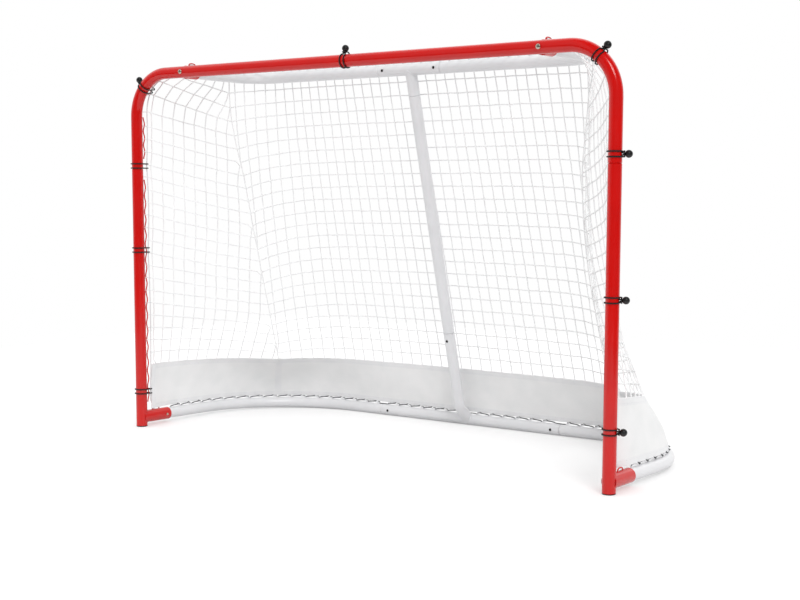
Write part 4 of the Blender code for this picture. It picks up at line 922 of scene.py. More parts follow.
def front_edge(side):
    """Route of the edge rope, from the hem up the post and round the bend to the shelf socket."""
    foot = base_point(0, behind_bend(side, 0.0, rope_reach(0.0)).y).z + HEM_RISE
    arc = TOP_BEND_RADIUS * QUARTER
    last = BEND_Z + arc + BEND_X - SHELF_X - NET_REACH * math.sin(NET_LEAN)
    corner = BEND_Z + TOP_BEND_RADIUS * CORNER_LOOP_TURN[side]
    ties = [foot] + sorted(LOOP_HEIGHTS[side]) + [corner, last]
    points = []
    for step in range(ROPE_POINTS + 1):
        mark = foot + (last - foot) * step / ROPE_POINTS
        turn = min(arc, max(0.0, mark - BEND_Z)) / TOP_BEND_RADIUS
        point = behind_bend(side, turn, rope_reach(turn) + bow(mark, ties))
        beyond = max(0.0, mark - BEND_Z - arc)
        points.append(Vector((point.x - side * beyond, point.y, mark if mark <= BEND_Z else point.z)))
    for step in range(ROPE_LEAD_IN):
        place = step - ROPE_LEAD_IN
        share = (step + 1) / ROPE_LEAD_IN
        points[place] = points[place].lerp(shelf_edge(side).at(0.0), share ** 2)
    return Route(points)


def hem_edge(side):
    """Route of the hem over the base tube, from the post to the middle of the rear bar."""
    front = behind_bend(side, 0.0, rope_reach(0.0))
    corners = ((side * POST_X, FRONT_Y + HEM_RUN_IN), (side * POST_X, REAR_Y), (0, REAR_Y))
    flat = [Vector((x, y, 0)) for x, y in corners]
    points = [Vector((front.x, front.y, 0))] + rounded_path(flat, BASE_BEND_RADIUS)
    return Route([Vector((p.x, p.y, base_point(0, p.y).z + HEM_RISE)) for p in points])


FRONTS = {side: front_edge(side) for label, side in SIDES}
SHELVES = {side: shelf_edge(side) for label, side in SIDES}
HEMS = {side: hem_edge(side) for label, side in SIDES}
HEM_SEAM = HEMS[1].length - BASE_STRAIGHT - BASE_BEND_RADIUS * (QUARTER - HEM_SEAM_TURN)
SHELF_SEAM = SHELF_Y - SHELF_BEND_RADIUS - SHELVES[1].at(0).y
SKIRT_TOP = SKIRT_BACK_HEIGHT / (SHELVES[1].at(0).z - BASE_Z - HEM_RISE)


def crease(side, v):
    """The line that the net's tension draws in, between the side and the back of the bag."""
    low = HEMS[side].at(HEM_SEAM)
    high = SHELVES[side].at(SHELF_SEAM)
    lower = BASE_Z + HEM_RISE + SKIRT_BACK_HEIGHT
    if v < SKIRT_TOP:
        foot_x = CREASE_X + CREASE_SPREAD * CREASE_NARROWEST ** 2
        foot = Vector((side * foot_x, CREASE_LOW_Y, lower))
        outward = Vector((side, 1, 0)).normalized()
        swell = SKIRT_SEAM_BOW * math.sin(math.pi * v / SKIRT_TOP)
        return low.lerp(foot, v / SKIRT_TOP) + outward * swell
    z = low.z + (high.z - low.z) * v
    if v > SKIRT_TOP:
        z -= NET_DROOP * math.sin(math.pi * (v - SKIRT_TOP) / (1 - SKIRT_TOP)) ** NET_DROOP_FULLNESS
    fall = (z - lower) / (high.z - lower)
    x = CREASE_X + CREASE_SPREAD * (2 * fall - CREASE_NARROWEST) ** 2
    y = CREASE_HIGH_Y + (CREASE_LOW_Y - CREASE_HIGH_Y) * (1 - fall) ** CREASE_HOLLOW
    drawn = Vector((side * x, y, z)).lerp(high, max(0.0, 1 - (high.z - z) / CREASE_FADE))
    return Vector((drawn.x, drawn.y, z))


def side_point(side, u, v):
    """A point of the bag's side: u from the front rope to the crease, v from the hem upwards."""
    front, hem, shelf = FRONTS[side], HEMS[side], SHELVES[side]
    knee = SKIRT_TOP + (1 - SKIRT_TOP) * STRAIGHT_ROWS
    marks = [0.0, SKIRT_FRONT_HEIGHT[side], BEND_Z - front.at(0).z, front.length]
    mark = between(v, [0.0, SKIRT_TOP, knee, 1.0], marks)
    ruled = hem.at(HEM_SEAM * u).lerp(shelf.at(SHELF_SEAM * u), v)
    fore = front.at(mark) - hem.at(0).lerp(shelf.at(0), v)
    rear = crease(side, v) - hem.at(HEM_SEAM).lerp(shelf.at(SHELF_SEAM), v)
    bulge = 4 * SKIRT_BULGE * max(0.0, 1 - v / SKIRT_BULGE_FADE) * u * (1 - u)
    return ruled + fore * (1 - u) + rear * (u - bulge)


def back_point(side, share, v):
    """A point of the bag's back: share from the middle to the crease, v from the hem upwards."""
    ends = []
    for route, straight, seam in (
            (HEMS[side], BASE_STRAIGHT, HEM_SEAM), (SHELVES[side], SHELF_X - SHELF_BEND_RADIUS, SHELF_SEAM)):
        marks = [0, straight, route.length - seam]
        ends.append(route.at(route.length - between(share, [0, BACK_STRAIGHT_SHARE, 1], marks)))
    drawn = crease(side, v) - HEMS[side].at(HEM_SEAM).lerp(SHELVES[side].at(SHELF_SEAM), v)
    return ends[0].lerp(ends[1], v) + Vector(
        (drawn.x * share ** 2, drawn.y * share ** 2, drawn.z * share ** 4))


def bag_row(side, v):
    """A level line of the bag from the middle of its back to the front rope, and its crease mark."""
    points = [back_point(side, step / BACK_STEPS, v) for step in range(BACK_STEPS + 1)]
    seam = Route(points).length
    points += [side_point(side, 1 - step / SIDE_STEPS, v) for step in range(1, SIDE_STEPS + 1)]
    return Route(points), seam


def mesh_width(v):
    """Width of a mesh along the row: the net closes up a little towards the shelf."""
    return MESH_SIZE * (1 - (1 - TOP_MESH_SHARE) * (v - SKIRT_TOP) / (1 - SKIRT_TOP))


def soft_twine(name, colour, shade, roughness, twist_pitch, twist_depth, sheen=0.25):
    """Twisted polyester twine: matt fibres, with fine spiral shadows between the strands."""
    material, tree, shader = new_material(name, colour, roughness, {"Sheen Weight": sheen})
    run = add_node(tree, "ShaderNodeAttribute", attribute_name="run").outputs["Vector"]
    parts = add_node(tree, "ShaderNodeSeparateXYZ", {0: run}).outputs
    along = add_node(tree, "ShaderNodeMath", {0: parts["Y"], 1: 1 / twist_pitch}, operation="MULTIPLY")
    spiral = add_node(tree, "ShaderNodeMath", {0: parts["X"], 1: along}, operation="ADD")
    angle = add_node(tree, "ShaderNodeMath", {0: spiral, 1: 6 * math.pi}, operation="MULTIPLY")
    wave = add_node(tree, "ShaderNodeMath", {0: angle}, operation="SINE")
    groove = add_node(tree, "ShaderNodeMapRange", {"Value": wave, "From Min": -1.0, "From Max": 1.0})
    bump = add_node(tree, "ShaderNodeBump", {"Strength": 0.6, "Distance": twist_depth, "Height": groove})
    tint = add_node(
        tree, "ShaderNodeMix", {"Factor": groove, "A": linear(shade), "B": linear(colour)}, data_type="RGBA")
    feed(shader, {"Base Color": tint, "Normal": bump})
    return material


white_twine = soft_twine("twisted_white_polyester", "#FAFAFA", "#EDEEEF", 0.8, TWIST_PITCH, 0.0003)

net_tree, given = new_tree(
    "knotted_net", {"Twine Radius": "Float", "Knot Radius": "Float", "Slack": "Float", "Seed": "Float"})
place = add_node(net_tree, "GeometryNodeInputPosition")
seeded = add_node(net_tree, "ShaderNodeVectorMath", {0: place, 1: given["Seed"]}, operation="ADD")
noise = add_node(net_tree, "ShaderNodeTexNoise", {"Vector": seeded, "Scale": 1 / 0.03, "Detail": 1.0})
centred = add_node(
    net_tree, "ShaderNodeVectorMath", {0: noise.outputs["Color"], 1: (0.5, 0.5, 0.5)}, operation="SUBTRACT")
free = add_node(net_tree, "GeometryNodeInputNamedAttribute", {"Name": "free"}, data_type="FLOAT")
reach = add_node(net_tree, "ShaderNodeMath", {0: given["Slack"], 1: free}, operation="MULTIPLY")
shift = add_node(net_tree, "ShaderNodeVectorMath", {0: centred, "Scale": reach}, operation="SCALE")
eased = add_node(net_tree, "GeometryNodeSetPosition", {"Geometry": given["Geometry"], "Offset": shift})
line = add_node(net_tree, "GeometryNodeMeshToCurve", {"Mesh": eased})
line = add_node(net_tree, "GeometryNodeResampleCurve", {"Curve": line, "Count": 4})
span = add_node(net_tree, "GeometryNodeSplineParameter")
angle = add_node(net_tree, "ShaderNodeMath", {0: span, 1: math.pi}, operation="MULTIPLY")
ends_held = add_node(net_tree, "ShaderNodeMath", {0: angle}, operation="SINE")
bend = add_node(net_tree, "ShaderNodeMath", {0: ends_held, 1: given["Slack"]}, operation="MULTIPLY")
bend = add_node(net_tree, "ShaderNodeVectorMath", {0: centred, "Scale": bend}, operation="SCALE")
line = add_node(net_tree, "GeometryNodeSetPosition", {"Geometry": line, "Offset": bend})
line = add_node(
    net_tree, "GeometryNodeStoreNamedAttribute",
    {"Geometry": line, "Name": "along", "Value": span.outputs["Length"]}, data_type="FLOAT")
ring = add_node(
    net_tree, "GeometryNodeCurvePrimitiveCircle", {"Resolution": 6, "Radius": given["Twine Radius"]})
ring = add_node(
    net_tree, "GeometryNodeStoreNamedAttribute", {"Geometry": ring, "Name": "around", "Value": span},
    data_type="FLOAT")
twine = add_node(
    net_tree, "GeometryNodeCurveToMesh", {"Curve": line, "Profile Curve": ring, "Fill Caps": True})
run_parts = [
    add_node(net_tree, "GeometryNodeInputNamedAttribute", {"Name": name}, data_type="FLOAT")
    for name in ("around", "along")]
run = add_node(net_tree, "ShaderNodeCombineXYZ", dict(zip("XY", run_parts)))
twine = add_node(
    net_tree, "GeometryNodeStoreNamedAttribute", {"Geometry": twine, "Name": "run", "Value": run},
    data_type="FLOAT_VECTOR")
knotted = add_node(net_tree, "FunctionNodeCompare", {0: free, 1: KNOTTED_FREE}, operation="GREATER_THAN")
places = add_node(net_tree, "GeometryNodeMeshToPoints", {"Mesh": eased, "Selection": knotted})
ball = add_node(
    net_tree, "GeometryNodeMeshUVSphere", {"Segments": 6, "Rings": 5, "Radius": given["Knot Radius"]})
lean = add_node(
    net_tree, "FunctionNodeRandomValue", {0: (-0.5, -0.5, -0.5), 1: (0.5, 0.5, 0.5), "Seed": 7},
    data_type="FLOAT_VECTOR")
knots = add_node(
    net_tree, "GeometryNodeInstanceOnPoints",
    {"Points": places, "Instance": ball, "Rotation": lean, "Scale": (1.15, 0.8, 1.0)})
net = add_node(net_tree, "GeometryNodeJoinGeometry", {0: twine})
feed(net, {0: knots})
close_tree(net_tree, net, given)


class Strands:
    """Knots and the strands between them, gathered for one panel of netting."""

    def __init__(self):
        self.places = []
        self.free = []
        self.names = {}
        self.pairs = set()

    def knot(self, name, place, free):
        if name not in self.names:
            self.names[name] = len(self.places)
            self.places.append(place)
            self.free.append(free)
        return name

    def tie(self, first, second):
        self.pairs.add((self.names[first], self.names[second]))

    def woven(self, name, seed, *nodes):
        mesh = bpy.data.meshes.new(name)
        mesh.from_pydata(self.places, sorted(self.pairs), [])
        mesh.attributes.new("free", "FLOAT", "POINT").data.foreach_set("value", self.free)
        mesh = settled(mesh, "NODES", {
            "Twine Radius": TWINE_R, "Knot Radius": KNOT_R, "Slack": TWINE_SLACK, "Seed": seed,
            "Material": white_twine}, node_group=net_tree)
        piece(name, mesh, white_twine, "white_twine", *nodes, sharp=60)


def row_knots(side, row):
    """The knots of one row as (name, place, freedom), from the back's middle to the front rope."""
    v = SKIRT_TOP + (1 - SKIRT_TOP) * row / NET_ROWS
    route, seam = bag_row(side, v)
    width = mesh_width(v)
    free = 1.0 if 0 < row < NET_ROWS else LACED_FREE
    back_count = int(seam / width - LAST_COLUMN)
    side_count = int((route.length - seam) / width - FIRST_COLUMN - LAST_COLUMN)
    line = [
        ((side if column else 0, "back", column), column * width, free) for column in range(back_count + 1)]
    line.append(((side, "seam", 0), seam, SEAM_FREE))
    for column in range(side_count, -1, -1):
        line.append(((side, "front", column), route.length - (FIRST_COLUMN + column) * width, free))
    line.append(((side, "rim", 0), route.length, 0.0))
    return [(name + (row,), route.at(mark), free) for name, mark, free in line]


def hang_net():
    """Fill the bag: level rows, and columns counted from the back's middle and from each front edge.

    The two sets of columns meet in the crease, where the spare ones are gathered.
    """
    panels = {"back": Strands(), -1: Strands(), 1: Strands()}
    for label, side in SIDES:
        lines = [row_knots(side, row) for row in range(NET_ROWS + 1)]
        for row, line in enumerate(lines):
            panel = panels["back"]
            for first, second in zip(line, line[1:]):
                if first[0][1] == "seam":
                    panel = panels[side]
                if 0 < row < NET_ROWS or second[0][1] != "rim":
                    panel.tie(panel.knot(*first), panel.knot(*second))
            if 0 < row < NET_ROWS:
                rim = line[-1]
                turn = math.asin(max(0.0, min(1.0, (rim[1].z - BEND_Z) / TOP_BEND_RADIUS)))
                hold = behind_bend(side, turn, TUBE_R)
                hold.z = hold.z if turn else rim[1].z
                panels[side].tie(panel.knot(*rim), panel.knot((side, "tube", 0, row), hold, 0.0))
        for below, above in zip(lines, lines[1:]):
            below, above = [{knot[0][:3]: knot for knot in line} for line in (below, above)]
            for name in {**below, **above}:
                if name[1] != "rim":
                    panel = panels[side] if name[1] == "front" else panels["back"]
                    ends = [near.get(name, near[(side, "seam", 0)]) for near in (below, above)]
                    panel.tie(panel.knot(*ends[0]), panel.knot(*ends[1]))
    return panels


panels = hang_net()
panels["back"].woven("netting_back", 0.0, "net_back")
for label, side in SIDES:
    panels[side].woven(f"netting_side_{label}", 0.0, f"net_side_{label}")

# Net over the shelf
# The same netting lies over the shelf as the bag's lid. It is laced to the rope that runs along
# the tubes, and sags a little between them.

LID_SAG = 0.014
LID_LACED_FREE = 0.1
LID_MARGIN = 0.2 * MESH_SIZE
LID_FRONT = FRONT_Y + BAR_ROPE_REACH
LID_ROWS = round((SHELF_Y - LID_FRONT) / MESH_SIZE)
LID_ROW = (SHELF_Y - LID_FRONT) / LID_ROWS


def lid_half(y):
    """Half the width of the shelf's outline at a depth, at the top of its tubes."""
    bend_y = SHELF_Y - SHELF_BEND_RADIUS
    if y <= bend_y:
        return SHELF_X
    return SHELF_X - SHELF_BEND_RADIUS + math.sqrt(max(0.0, SHELF_BEND_RADIUS ** 2 - (y - bend_y) ** 2))


def lid_point(x, y):
    """A point of the lid: on the tubes at its edges, sagging between them."""
    share_y = (y - LID_FRONT) / (SHELF_Y - LID_FRONT)
    share_x = x / lid_half(y)
    rim = TOP_Z + NET_REACH * min(1.0, 4 * share_y)
    sag = LID_SAG * math.sin(math.pi * min(1.0, max(0.0, share_y))) * max(0.0, 1 - share_x ** 4)
    return Vector((x, y, rim - sag))


lid = Strands()
lid_columns = int(SHELF_X / MESH_SIZE)
for row in range(LID_ROWS + 1):
    y = LID_FRONT + (SHELF_Y - LID_FRONT) * row / LID_ROWS
    half = lid_half(y)
    inside = [
        column for column in range(-lid_columns, lid_columns + 1)
        if abs(column * MESH_SIZE) < half - LID_MARGIN]
    free = 1.0 if 0 < row < LID_ROWS else LID_LACED_FREE
    for column in inside:
        lid.knot((column, row), lid_point(column * MESH_SIZE, y), free)
        if column - 1 in inside and row:
            lid.tie((column - 1, row), (column, row))
        if (column, row - 1) in lid.names:
            lid.tie((column, row - 1), (column, row))
    for side, column in ((-1, inside[0]), (1, inside[-1])):
        if 0 < row < LID_ROWS:
            lid.knot((side, "rim", row), lid_point(side * half, y), 0.0)
            lid.tie((column, row), (side, "rim", row))
            for outer in range(1, 4):
                gone = (column + side * outer, row - 1)
                if gone in lid.names:
                    tail = (side, "tail", outer, row)
                    lid.knot(tail, lid_point(side * half, y - LID_ROW * 0.5 * outer), 0.0)
                    lid.tie(gone, tail)
lid.woven("netting_lid", 6.0, "net_top")

# Edge ropes
# Braided white rope is threaded through the outer meshes: up both posts, along the crossbar and
# round the shelf. The elastic loops pull on it, and the net is wrapped over the shelf tube.

POST_ROPE_R = 0.0019
ROPE_STEP = 0.012
ROPE_SIDES = 10
ROPE_START = 0.03
ROPE_END_GAP = 0.004
ROPE_FOOT_LEAN = Vector((-1, 1, 0)).normalized()
BRAID_PITCH = 0.012
CROSSBAR_LOOP_X = 0.0
CROSSBAR_ROPE_POINTS = 80
CREST_LEAN = math.radians(40)
TOP_LEAN = math.radians(4)

white_rope = soft_twine("braided_white_polyester_rope", "#EEEEEF", "#CFD0D2", 0.75, BRAID_PITCH, 0.0005)


def smooth_line(points, step):
    """The points joined by a curve that passes through each of them, read at even steps."""
    fine = []
    for index in range(len(points) - 1):
        p1, p2 = points[index], points[index + 1]
        p0 = points[index - 1] if index else p1 * 2 - p2
        p3 = points[index + 2] if index + 2 < len(points) else p2 * 2 - p1
        count = max(2, round((p2 - p1).length / step))
        for place in range(count):
            t = place / count
            fine.append(0.5 * (2 * p1 + (p2 - p0) * t + (2 * p0 - 5 * p1 + 4 * p2 - p3) * t ** 2
                               + (3 * p1 - p0 - 3 * p2 + p3) * t ** 3))
    return fine + [points[-1]]


def rope(name, points, radius):
    piece(name, swept("rope", points, radius, ROPE_SIDES), white_rope, "white_twine")


for label, side in SIDES:
    front = FRONTS[side]
    foot = base_point(side * POST_X, FRONT_Y) + along * BASE_EYELET_SETBACK
    foot += ROPE_FOOT_LEAN * (SOCKET_R + EYELET_HEIGHT)
    points = [foot + Vector((-side * 0.004, 0.004, -0.004)), foot + Vector((-side * 0.006, -0.006, 0.004))]
    points += front.part(ROPE_START, front.length, ROPE_STEP)
    rope(f"edge_rope_post_{label}", smooth_line(points, ROPE_STEP / 2), POST_ROPE_R)
ties = [-SHELF_X, CROSSBAR_LOOP_X, SHELF_X]
reach = SHELVES[1].at(0).x
points = []
for step in range(CROSSBAR_ROPE_POINTS + 1):
    x = -reach + 2 * reach * step / CROSSBAR_ROPE_POINTS
    points.append(Vector((x, FRONT_Y + BAR_ROPE_REACH + bow(x, ties) * 0.6, TOP_Z - bow(x, ties) * 0.3)))
points[0], points[-1] = [SHELVES[side].at(0.0) for label, side in SIDES]
rope("edge_rope_crossbar", smooth_line(points, ROPE_STEP / 2), EDGE_ROPE_R)
left, right = [shelf_edge(side, TOP_LEAN) for label, side in SIDES]
points = left.part(ROPE_END_GAP, left.length, ROPE_STEP)
points += right.part(ROPE_END_GAP, right.length - ROPE_STEP, ROPE_STEP)[::-1]
rope("edge_rope_shelf", [Vector((p.x, p.y, TOP_Z + NET_REACH)) for p in points], EDGE_ROPE_R)

wraps = Strands()
for label, side in SIDES:
    edges = [shelf_edge(side, lean) for lean in (NET_LEAN, CREST_LEAN, TOP_LEAN)]
    outer = edges[0].length
    for column in range(0 if side > 0 else 1, int(outer / mesh_width(1.0)) + 1):
        share = 1 - column * mesh_width(1.0) / outer
        for level, edge in enumerate(edges):
            wraps.knot((side, column, level), edge.at(edge.length * share), 0.0)
            if level:
                wraps.tie((side, column, level - 1), (side, column, level))
wraps.woven("netting_over_shelf_tube", 1.0)

# Skirt
# A band of white woven polyester, PVC backed, closes the foot of the bag. It has a turned and
# stitched hem all round, a seam at each crease, and stands on the lacing rods.

SKIRT_THICKNESS = 0.0008
SKIRT_SETBACK = 0.006
SKIRT_LEVELS = 16
HEM_THICKNESS = 0.0020
HEM_SHARE = 0.11
FRONT_HEM_SHARE = 0.042
SEAM_SHARE = 0.018
FOLD_DEPTH = 0.0045
THREAD_SPACING = 0.0012
STITCH_PITCH = 0.008
STITCH_R = 0.00125
STITCH_STRETCH = 2.4
STITCH_INSET = 0.006
STITCH_DROP = 0.03
STITCH_LINE_STEPS = 200


def woven_cloth(name, colour, shade, thread):
    """Coated plain weave: pale and matt, with a fine grid of threads and soft creases in its tone."""
    material, tree, shader = new_material(name, colour, 0.62, {"Sheen Weight": 0.15})
    run = add_node(tree, "ShaderNodeAttribute", attribute_name="run").outputs["Vector"]
    place = add_node(tree, "ShaderNodeTexCoord").outputs["Object"]
    bands = [
        add_node(
            tree, "ShaderNodeTexWave",
            {"Vector": run, "Scale": 1 / thread / 3.1416, "Distortion": 0.6, "Detail": 1.0},
            bands_direction=direction, wave_profile="SIN").outputs["Fac"]
        for direction in ("X", "Y")]
    weave = add_node(tree, "ShaderNodeMath", dict(enumerate(bands)), operation="MULTIPLY")
    stain, crumple = [
        add_node(tree, "ShaderNodeTexNoise", {"Vector": place, "Scale": 1 / size, "Detail": detail})
        for size, detail in ((0.07, 6.0), (0.05, 3.0))]
    tone = add_node(tree, "ShaderNodeMapRange", {"Value": stain, "From Min": 0.35, "From Max": 0.75})
    soft = add_node(tree, "ShaderNodeBump", {"Strength": 0.25, "Distance": 0.004, "Height": crumple})
    bump = add_node(
        tree, "ShaderNodeBump", {"Strength": 0.5, "Distance": 0.0002, "Height": weave, "Normal": soft})
    tint = add_node(
        tree, "ShaderNodeMix", {"Factor": tone, "A": linear(colour), "B": linear(shade)}, data_type="RGBA")
    feed(shader, {"Base Color": tint, "Normal": bump})
    return material


white_cloth = woven_cloth("coated_white_polyester_cloth", "#F2F2F2", "#EBECEC", THREAD_SPACING)
hem_cloth = woven_cloth("folded_hem_of_the_same_cloth", "#EFEFF0", "#E6E7E8", THREAD_SPACING)


def skirt_fold(across, up):
    """How far a soft fold pushes the cloth out: none at its hems, most halfway up."""
    swell = math.sin(math.pi * up) ** 1.2
    slow = math.sin(across * 9.0 + 1.3 * up) * 0.55 + math.sin(across * 21.0 - 2.1 * up + 0.8) * 0.3
    scallop = math.sin(across * 2 * math.pi / ROD_PITCH) * 0.12 * (1 - up) ** 2
    return FOLD_DEPTH * (swell * slow + scallop)


def cloth_grid(rows, thickness):
    """A sheet through rows of points, with metres across and up as its UV map."""
    form = bmesh.new()
    run = form.loops.layers.uv.new("run")
    corners = [[form.verts.new(point) for point in row] for row in rows]
    across = Route(rows[0]).marks
    up = Route([row[0] for row in rows]).marks
    for level in range(len(rows) - 1):
        for step in range(len(rows[level]) - 1):
            loop = [(level, step), (level, step + 1), (level + 1, step + 1), (level + 1, step)]
            face = form.faces.new([corners[r][c] for r, c in loop])
            for face_loop, (r, c) in zip(face.loops, loop):
                face_loop[run].uv = (across[c], up[r])
    return settled(as_mesh("cloth", form), "SOLIDIFY", thickness=thickness, offset=0.0, use_even_offset=True)


skirt_rows = {
    side: [bag_row(side, SKIRT_TOP * level / SKIRT_LEVELS) for level in range(SKIRT_LEVELS + 1)]
    for label, side in SIDES}


def skirt_point(share, up):
    """A point of the skirt: share runs from the left front (-2) by the middle (0) to the right (2)."""
    side = 1 if share > 0 else -1
    level = min(int(up * SKIRT_LEVELS), SKIRT_LEVELS - 1)
    ends = []
    for route, seam in skirt_rows[side][level:level + 2]:
        beyond = abs(share) - 1
        mark = seam + beyond * (seam if beyond < 0 else route.length - SKIRT_SETBACK - seam)
        outward = UP.cross(route.heading(min(mark, route.length - 0.004))).normalized() * side
        ends.append(route.at(mark) + outward * skirt_fold(mark * side, up))
    return ends[0].lerp(ends[1], up * SKIRT_LEVELS - level)


def skirt_line(start, end, low, high, count):
    return [
        skirt_point(start + (end - start) * k / count, low + (high - low) * k / count)
        for k in range(count + 1)]


def skirt_patch(start, end, low, high, thickness, columns, levels):
    rows = [low + (high - low) * level / levels for level in range(levels + 1)]
    return cloth_grid([skirt_line(start, end, up, up, columns) for up in rows], thickness)


PANELS = (("side_left", -2.0, -1.0, 40), ("back", -1.0, 1.0, 80), ("side_right", 1.0, 2.0, 40))
for label, start, end, columns in PANELS:
    body = skirt_patch(start, end, 0, 1, SKIRT_THICKNESS, columns, SKIRT_LEVELS)
    sheet = piece(f"skirt_{label}_cloth", body, white_cloth, "white_fabric", f"skirt_{label}", sharp=80)
    first = start + (FRONT_HEM_SHARE if start == -2.0 else SEAM_SHARE)
    last = end - (FRONT_HEM_SHARE if end == 2.0 else SEAM_SHARE)
    hems = [
        skirt_patch(start, end, low, low + HEM_SHARE, HEM_THICKNESS, columns, 2)
        for low in (0, 1 - HEM_SHARE)]
    hems += [
        skirt_patch(*span, 0, 1, HEM_THICKNESS + GAP, 2, SKIRT_LEVELS)
        for span in ((start, first), (last, end))]
    hem = piece(f"skirt_{label}_hems", gathered("hems", *hems), hem_cloth, "white_fabric", sharp=80)
    lower, upper = [Route(skirt_line(start, end, up, up, columns)).length for up in (0, 1)]
    middle = (start + end) / 2
    height = Route(skirt_line(middle, middle, 0, 1, SKIRT_LEVELS)).length

tree, given = new_tree("stitches", {"Pitch": "Float", "Radius": "Float", "Stretch": "Float"})
line = add_node(tree, "GeometryNodeMeshToCurve", {"Mesh": given["Geometry"]})
places = add_node(
    tree, "GeometryNodeCurveToPoints", {"Curve": line, "Length": given["Pitch"]}, mode="LENGTH").outputs
thread = add_node(
    tree, "GeometryNodeMeshUVSphere", {"Segments": 6, "Rings": 4, "Radius": given["Radius"]})
shape = add_node(tree, "ShaderNodeCombineXYZ", {"X": 1.0, "Y": 1.0, "Z": given["Stretch"]})
stitches = add_node(
    tree, "GeometryNodeInstanceOnPoints",
    {"Points": places["Points"], "Instance": thread, "Rotation": places["Rotation"], "Scale": shape})
close_tree(tree, stitches, given)
edge = STITCH_INSET
heights = (HEM_SHARE - STITCH_DROP, 1 - HEM_SHARE + STITCH_DROP)
lines = [skirt_line(-2 + edge, 2 - edge, up, up, STITCH_LINE_STEPS) for up in heights]
for share in (2 - edge, 2 - FRONT_HEM_SHARE + edge, 1 + SEAM_SHARE - edge, 1 - SEAM_SHARE + edge):
    lines += [skirt_line(sign * share, sign * share, 0.02, 0.98, SKIRT_LEVELS) for sign in (-1, 1)]
# The thread itself is white: its light grey colour is painted shade, which stands for the faint shadow along
# each line of stitches.
thread_greyed_as_shade = soft_twine("polyester_sewing_thread", "#D3D4D6", "#B4B6B9", 0.7, STITCH_PITCH, 0.0001)
mesh = gathered("stitch_lines", *[wire_line("stitch_line", points) for points in lines])
mesh = settled(mesh, "NODES", {
    "Pitch": STITCH_PITCH, "Radius": STITCH_R, "Stretch": STITCH_STRETCH, "Material": thread_greyed_as_shade,
}, node_group=tree)
piece("skirt_stitches", mesh, thread_greyed_as_shade, "white_fabric", sharp=80)

# Lacing cord
# Grey braided cord winds along the base: through the skirt's hem from one face to the other, and
# under each crest of the wavy rods. It passes behind the foot of the support.

LACING_R = 0.0016
LACING_LOW = TUBE_R + GAP + LACING_R
LACING_HIGH = HEM_RISE + 0.0025
LACING_SWAY = 0.0054
LACING_STEPS = 16
LACING_SIDES = 8
LACING_STEP = 0.002
LACING_TWIST = 0.004
LACING_CLEAR = TUBE_R + 0.005
LACING_DETOUR = 0.0085
INNER_SHARE = 0.76

grey_cord = soft_twine("braided_grey_lacing_cord", "#54575A", "#37393C", 0.75, LACING_TWIST, 0.0003)


def lacing(route, start, end):
    """One turn round the hem and the rod for each wave of the rod: long inside, short outside."""
    count = max(1, round(abs(end - start) / ROD_PITCH)) * LACING_STEPS
    points = []
    for step in range(count + 1):
        part = step / LACING_STEPS % 1
        outside = (part - INNER_SHARE) / (1 - INNER_SHARE)
        turn = math.pi * (part / INNER_SHARE if part < INNER_SHARE else 1 + outside)
        mark = start + (end - start) * step / count
        inward = route.heading(mark).cross(UP).normalized()
        if inward.dot(Vector((0, FRONT_Y, 0)) - route.at(mark)) < 0:
            inward = -inward
        climb = 0.5 - abs(1 - turn / math.pi)
        height = LACING_LOW + (LACING_HIGH - LACING_LOW) * (0.5 + 4 * climb ** 3)
        points.append(route.at(mark) + UP * height + inward * LACING_SWAY * math.sin(turn))
    return points


halves = []
for label, side in SIDES:
    rail = Route(base_rail_path(side))
    points = lacing(rail, BASE_ROD_START, rail.length - BASE_ROD_SEAM_MARGIN)
    points += lacing(base_bar_route(side), BASE_SEAM_X - BASE_ROD_SEAM_MARGIN, SUPPORT_ROD_MARGIN)
    halves.append(points + [rear_point(side * LACING_CLEAR) + BACK * LACING_DETOUR + UP * LACING_LOW])
points = smooth_line(halves[0] + halves[1][::-1], LACING_STEP)
cord = swept("cord", points, LACING_R, LACING_SIDES)
piece("lacing_cord_wound", cord, grey_cord, "grey_cord", "lacing_cord")

# Loops with balls
# Black elastic cord, doubled round the tube and the net's rope, hooks over a moulded ball.
# Pulling the ball stretches the cord so that the net comes off for storage.

CORD_R = 0.002
CORD_SPREAD = 0.0072
CORD_STEP = 0.002
BALL_R = 0.0105
BALL_SEAT = TUBE_R + 0.0068
BALL_STEPS = 24
NECK_LENGTH = 0.0022
NECK_R = 0.0044
LOOP_STEP = math.radians(12)
LOOP_START = math.radians(30)
LOOP_END = math.radians(34)
ROPE_TURN_STEPS = 8
CORNER_NET_SAG = 0.003
CORNER_LOOP_SLACK = 0.0014
BALL_TURN = {-1: math.radians(135), 1: math.radians(15)}
SHEATH_PITCH = 0.0024

black_sheath = soft_twine(
    "braided_black_elastic_cord", "#0E0E10", "#040405", 0.6, SHEATH_PITCH, 0.0003, sheen=0.03)


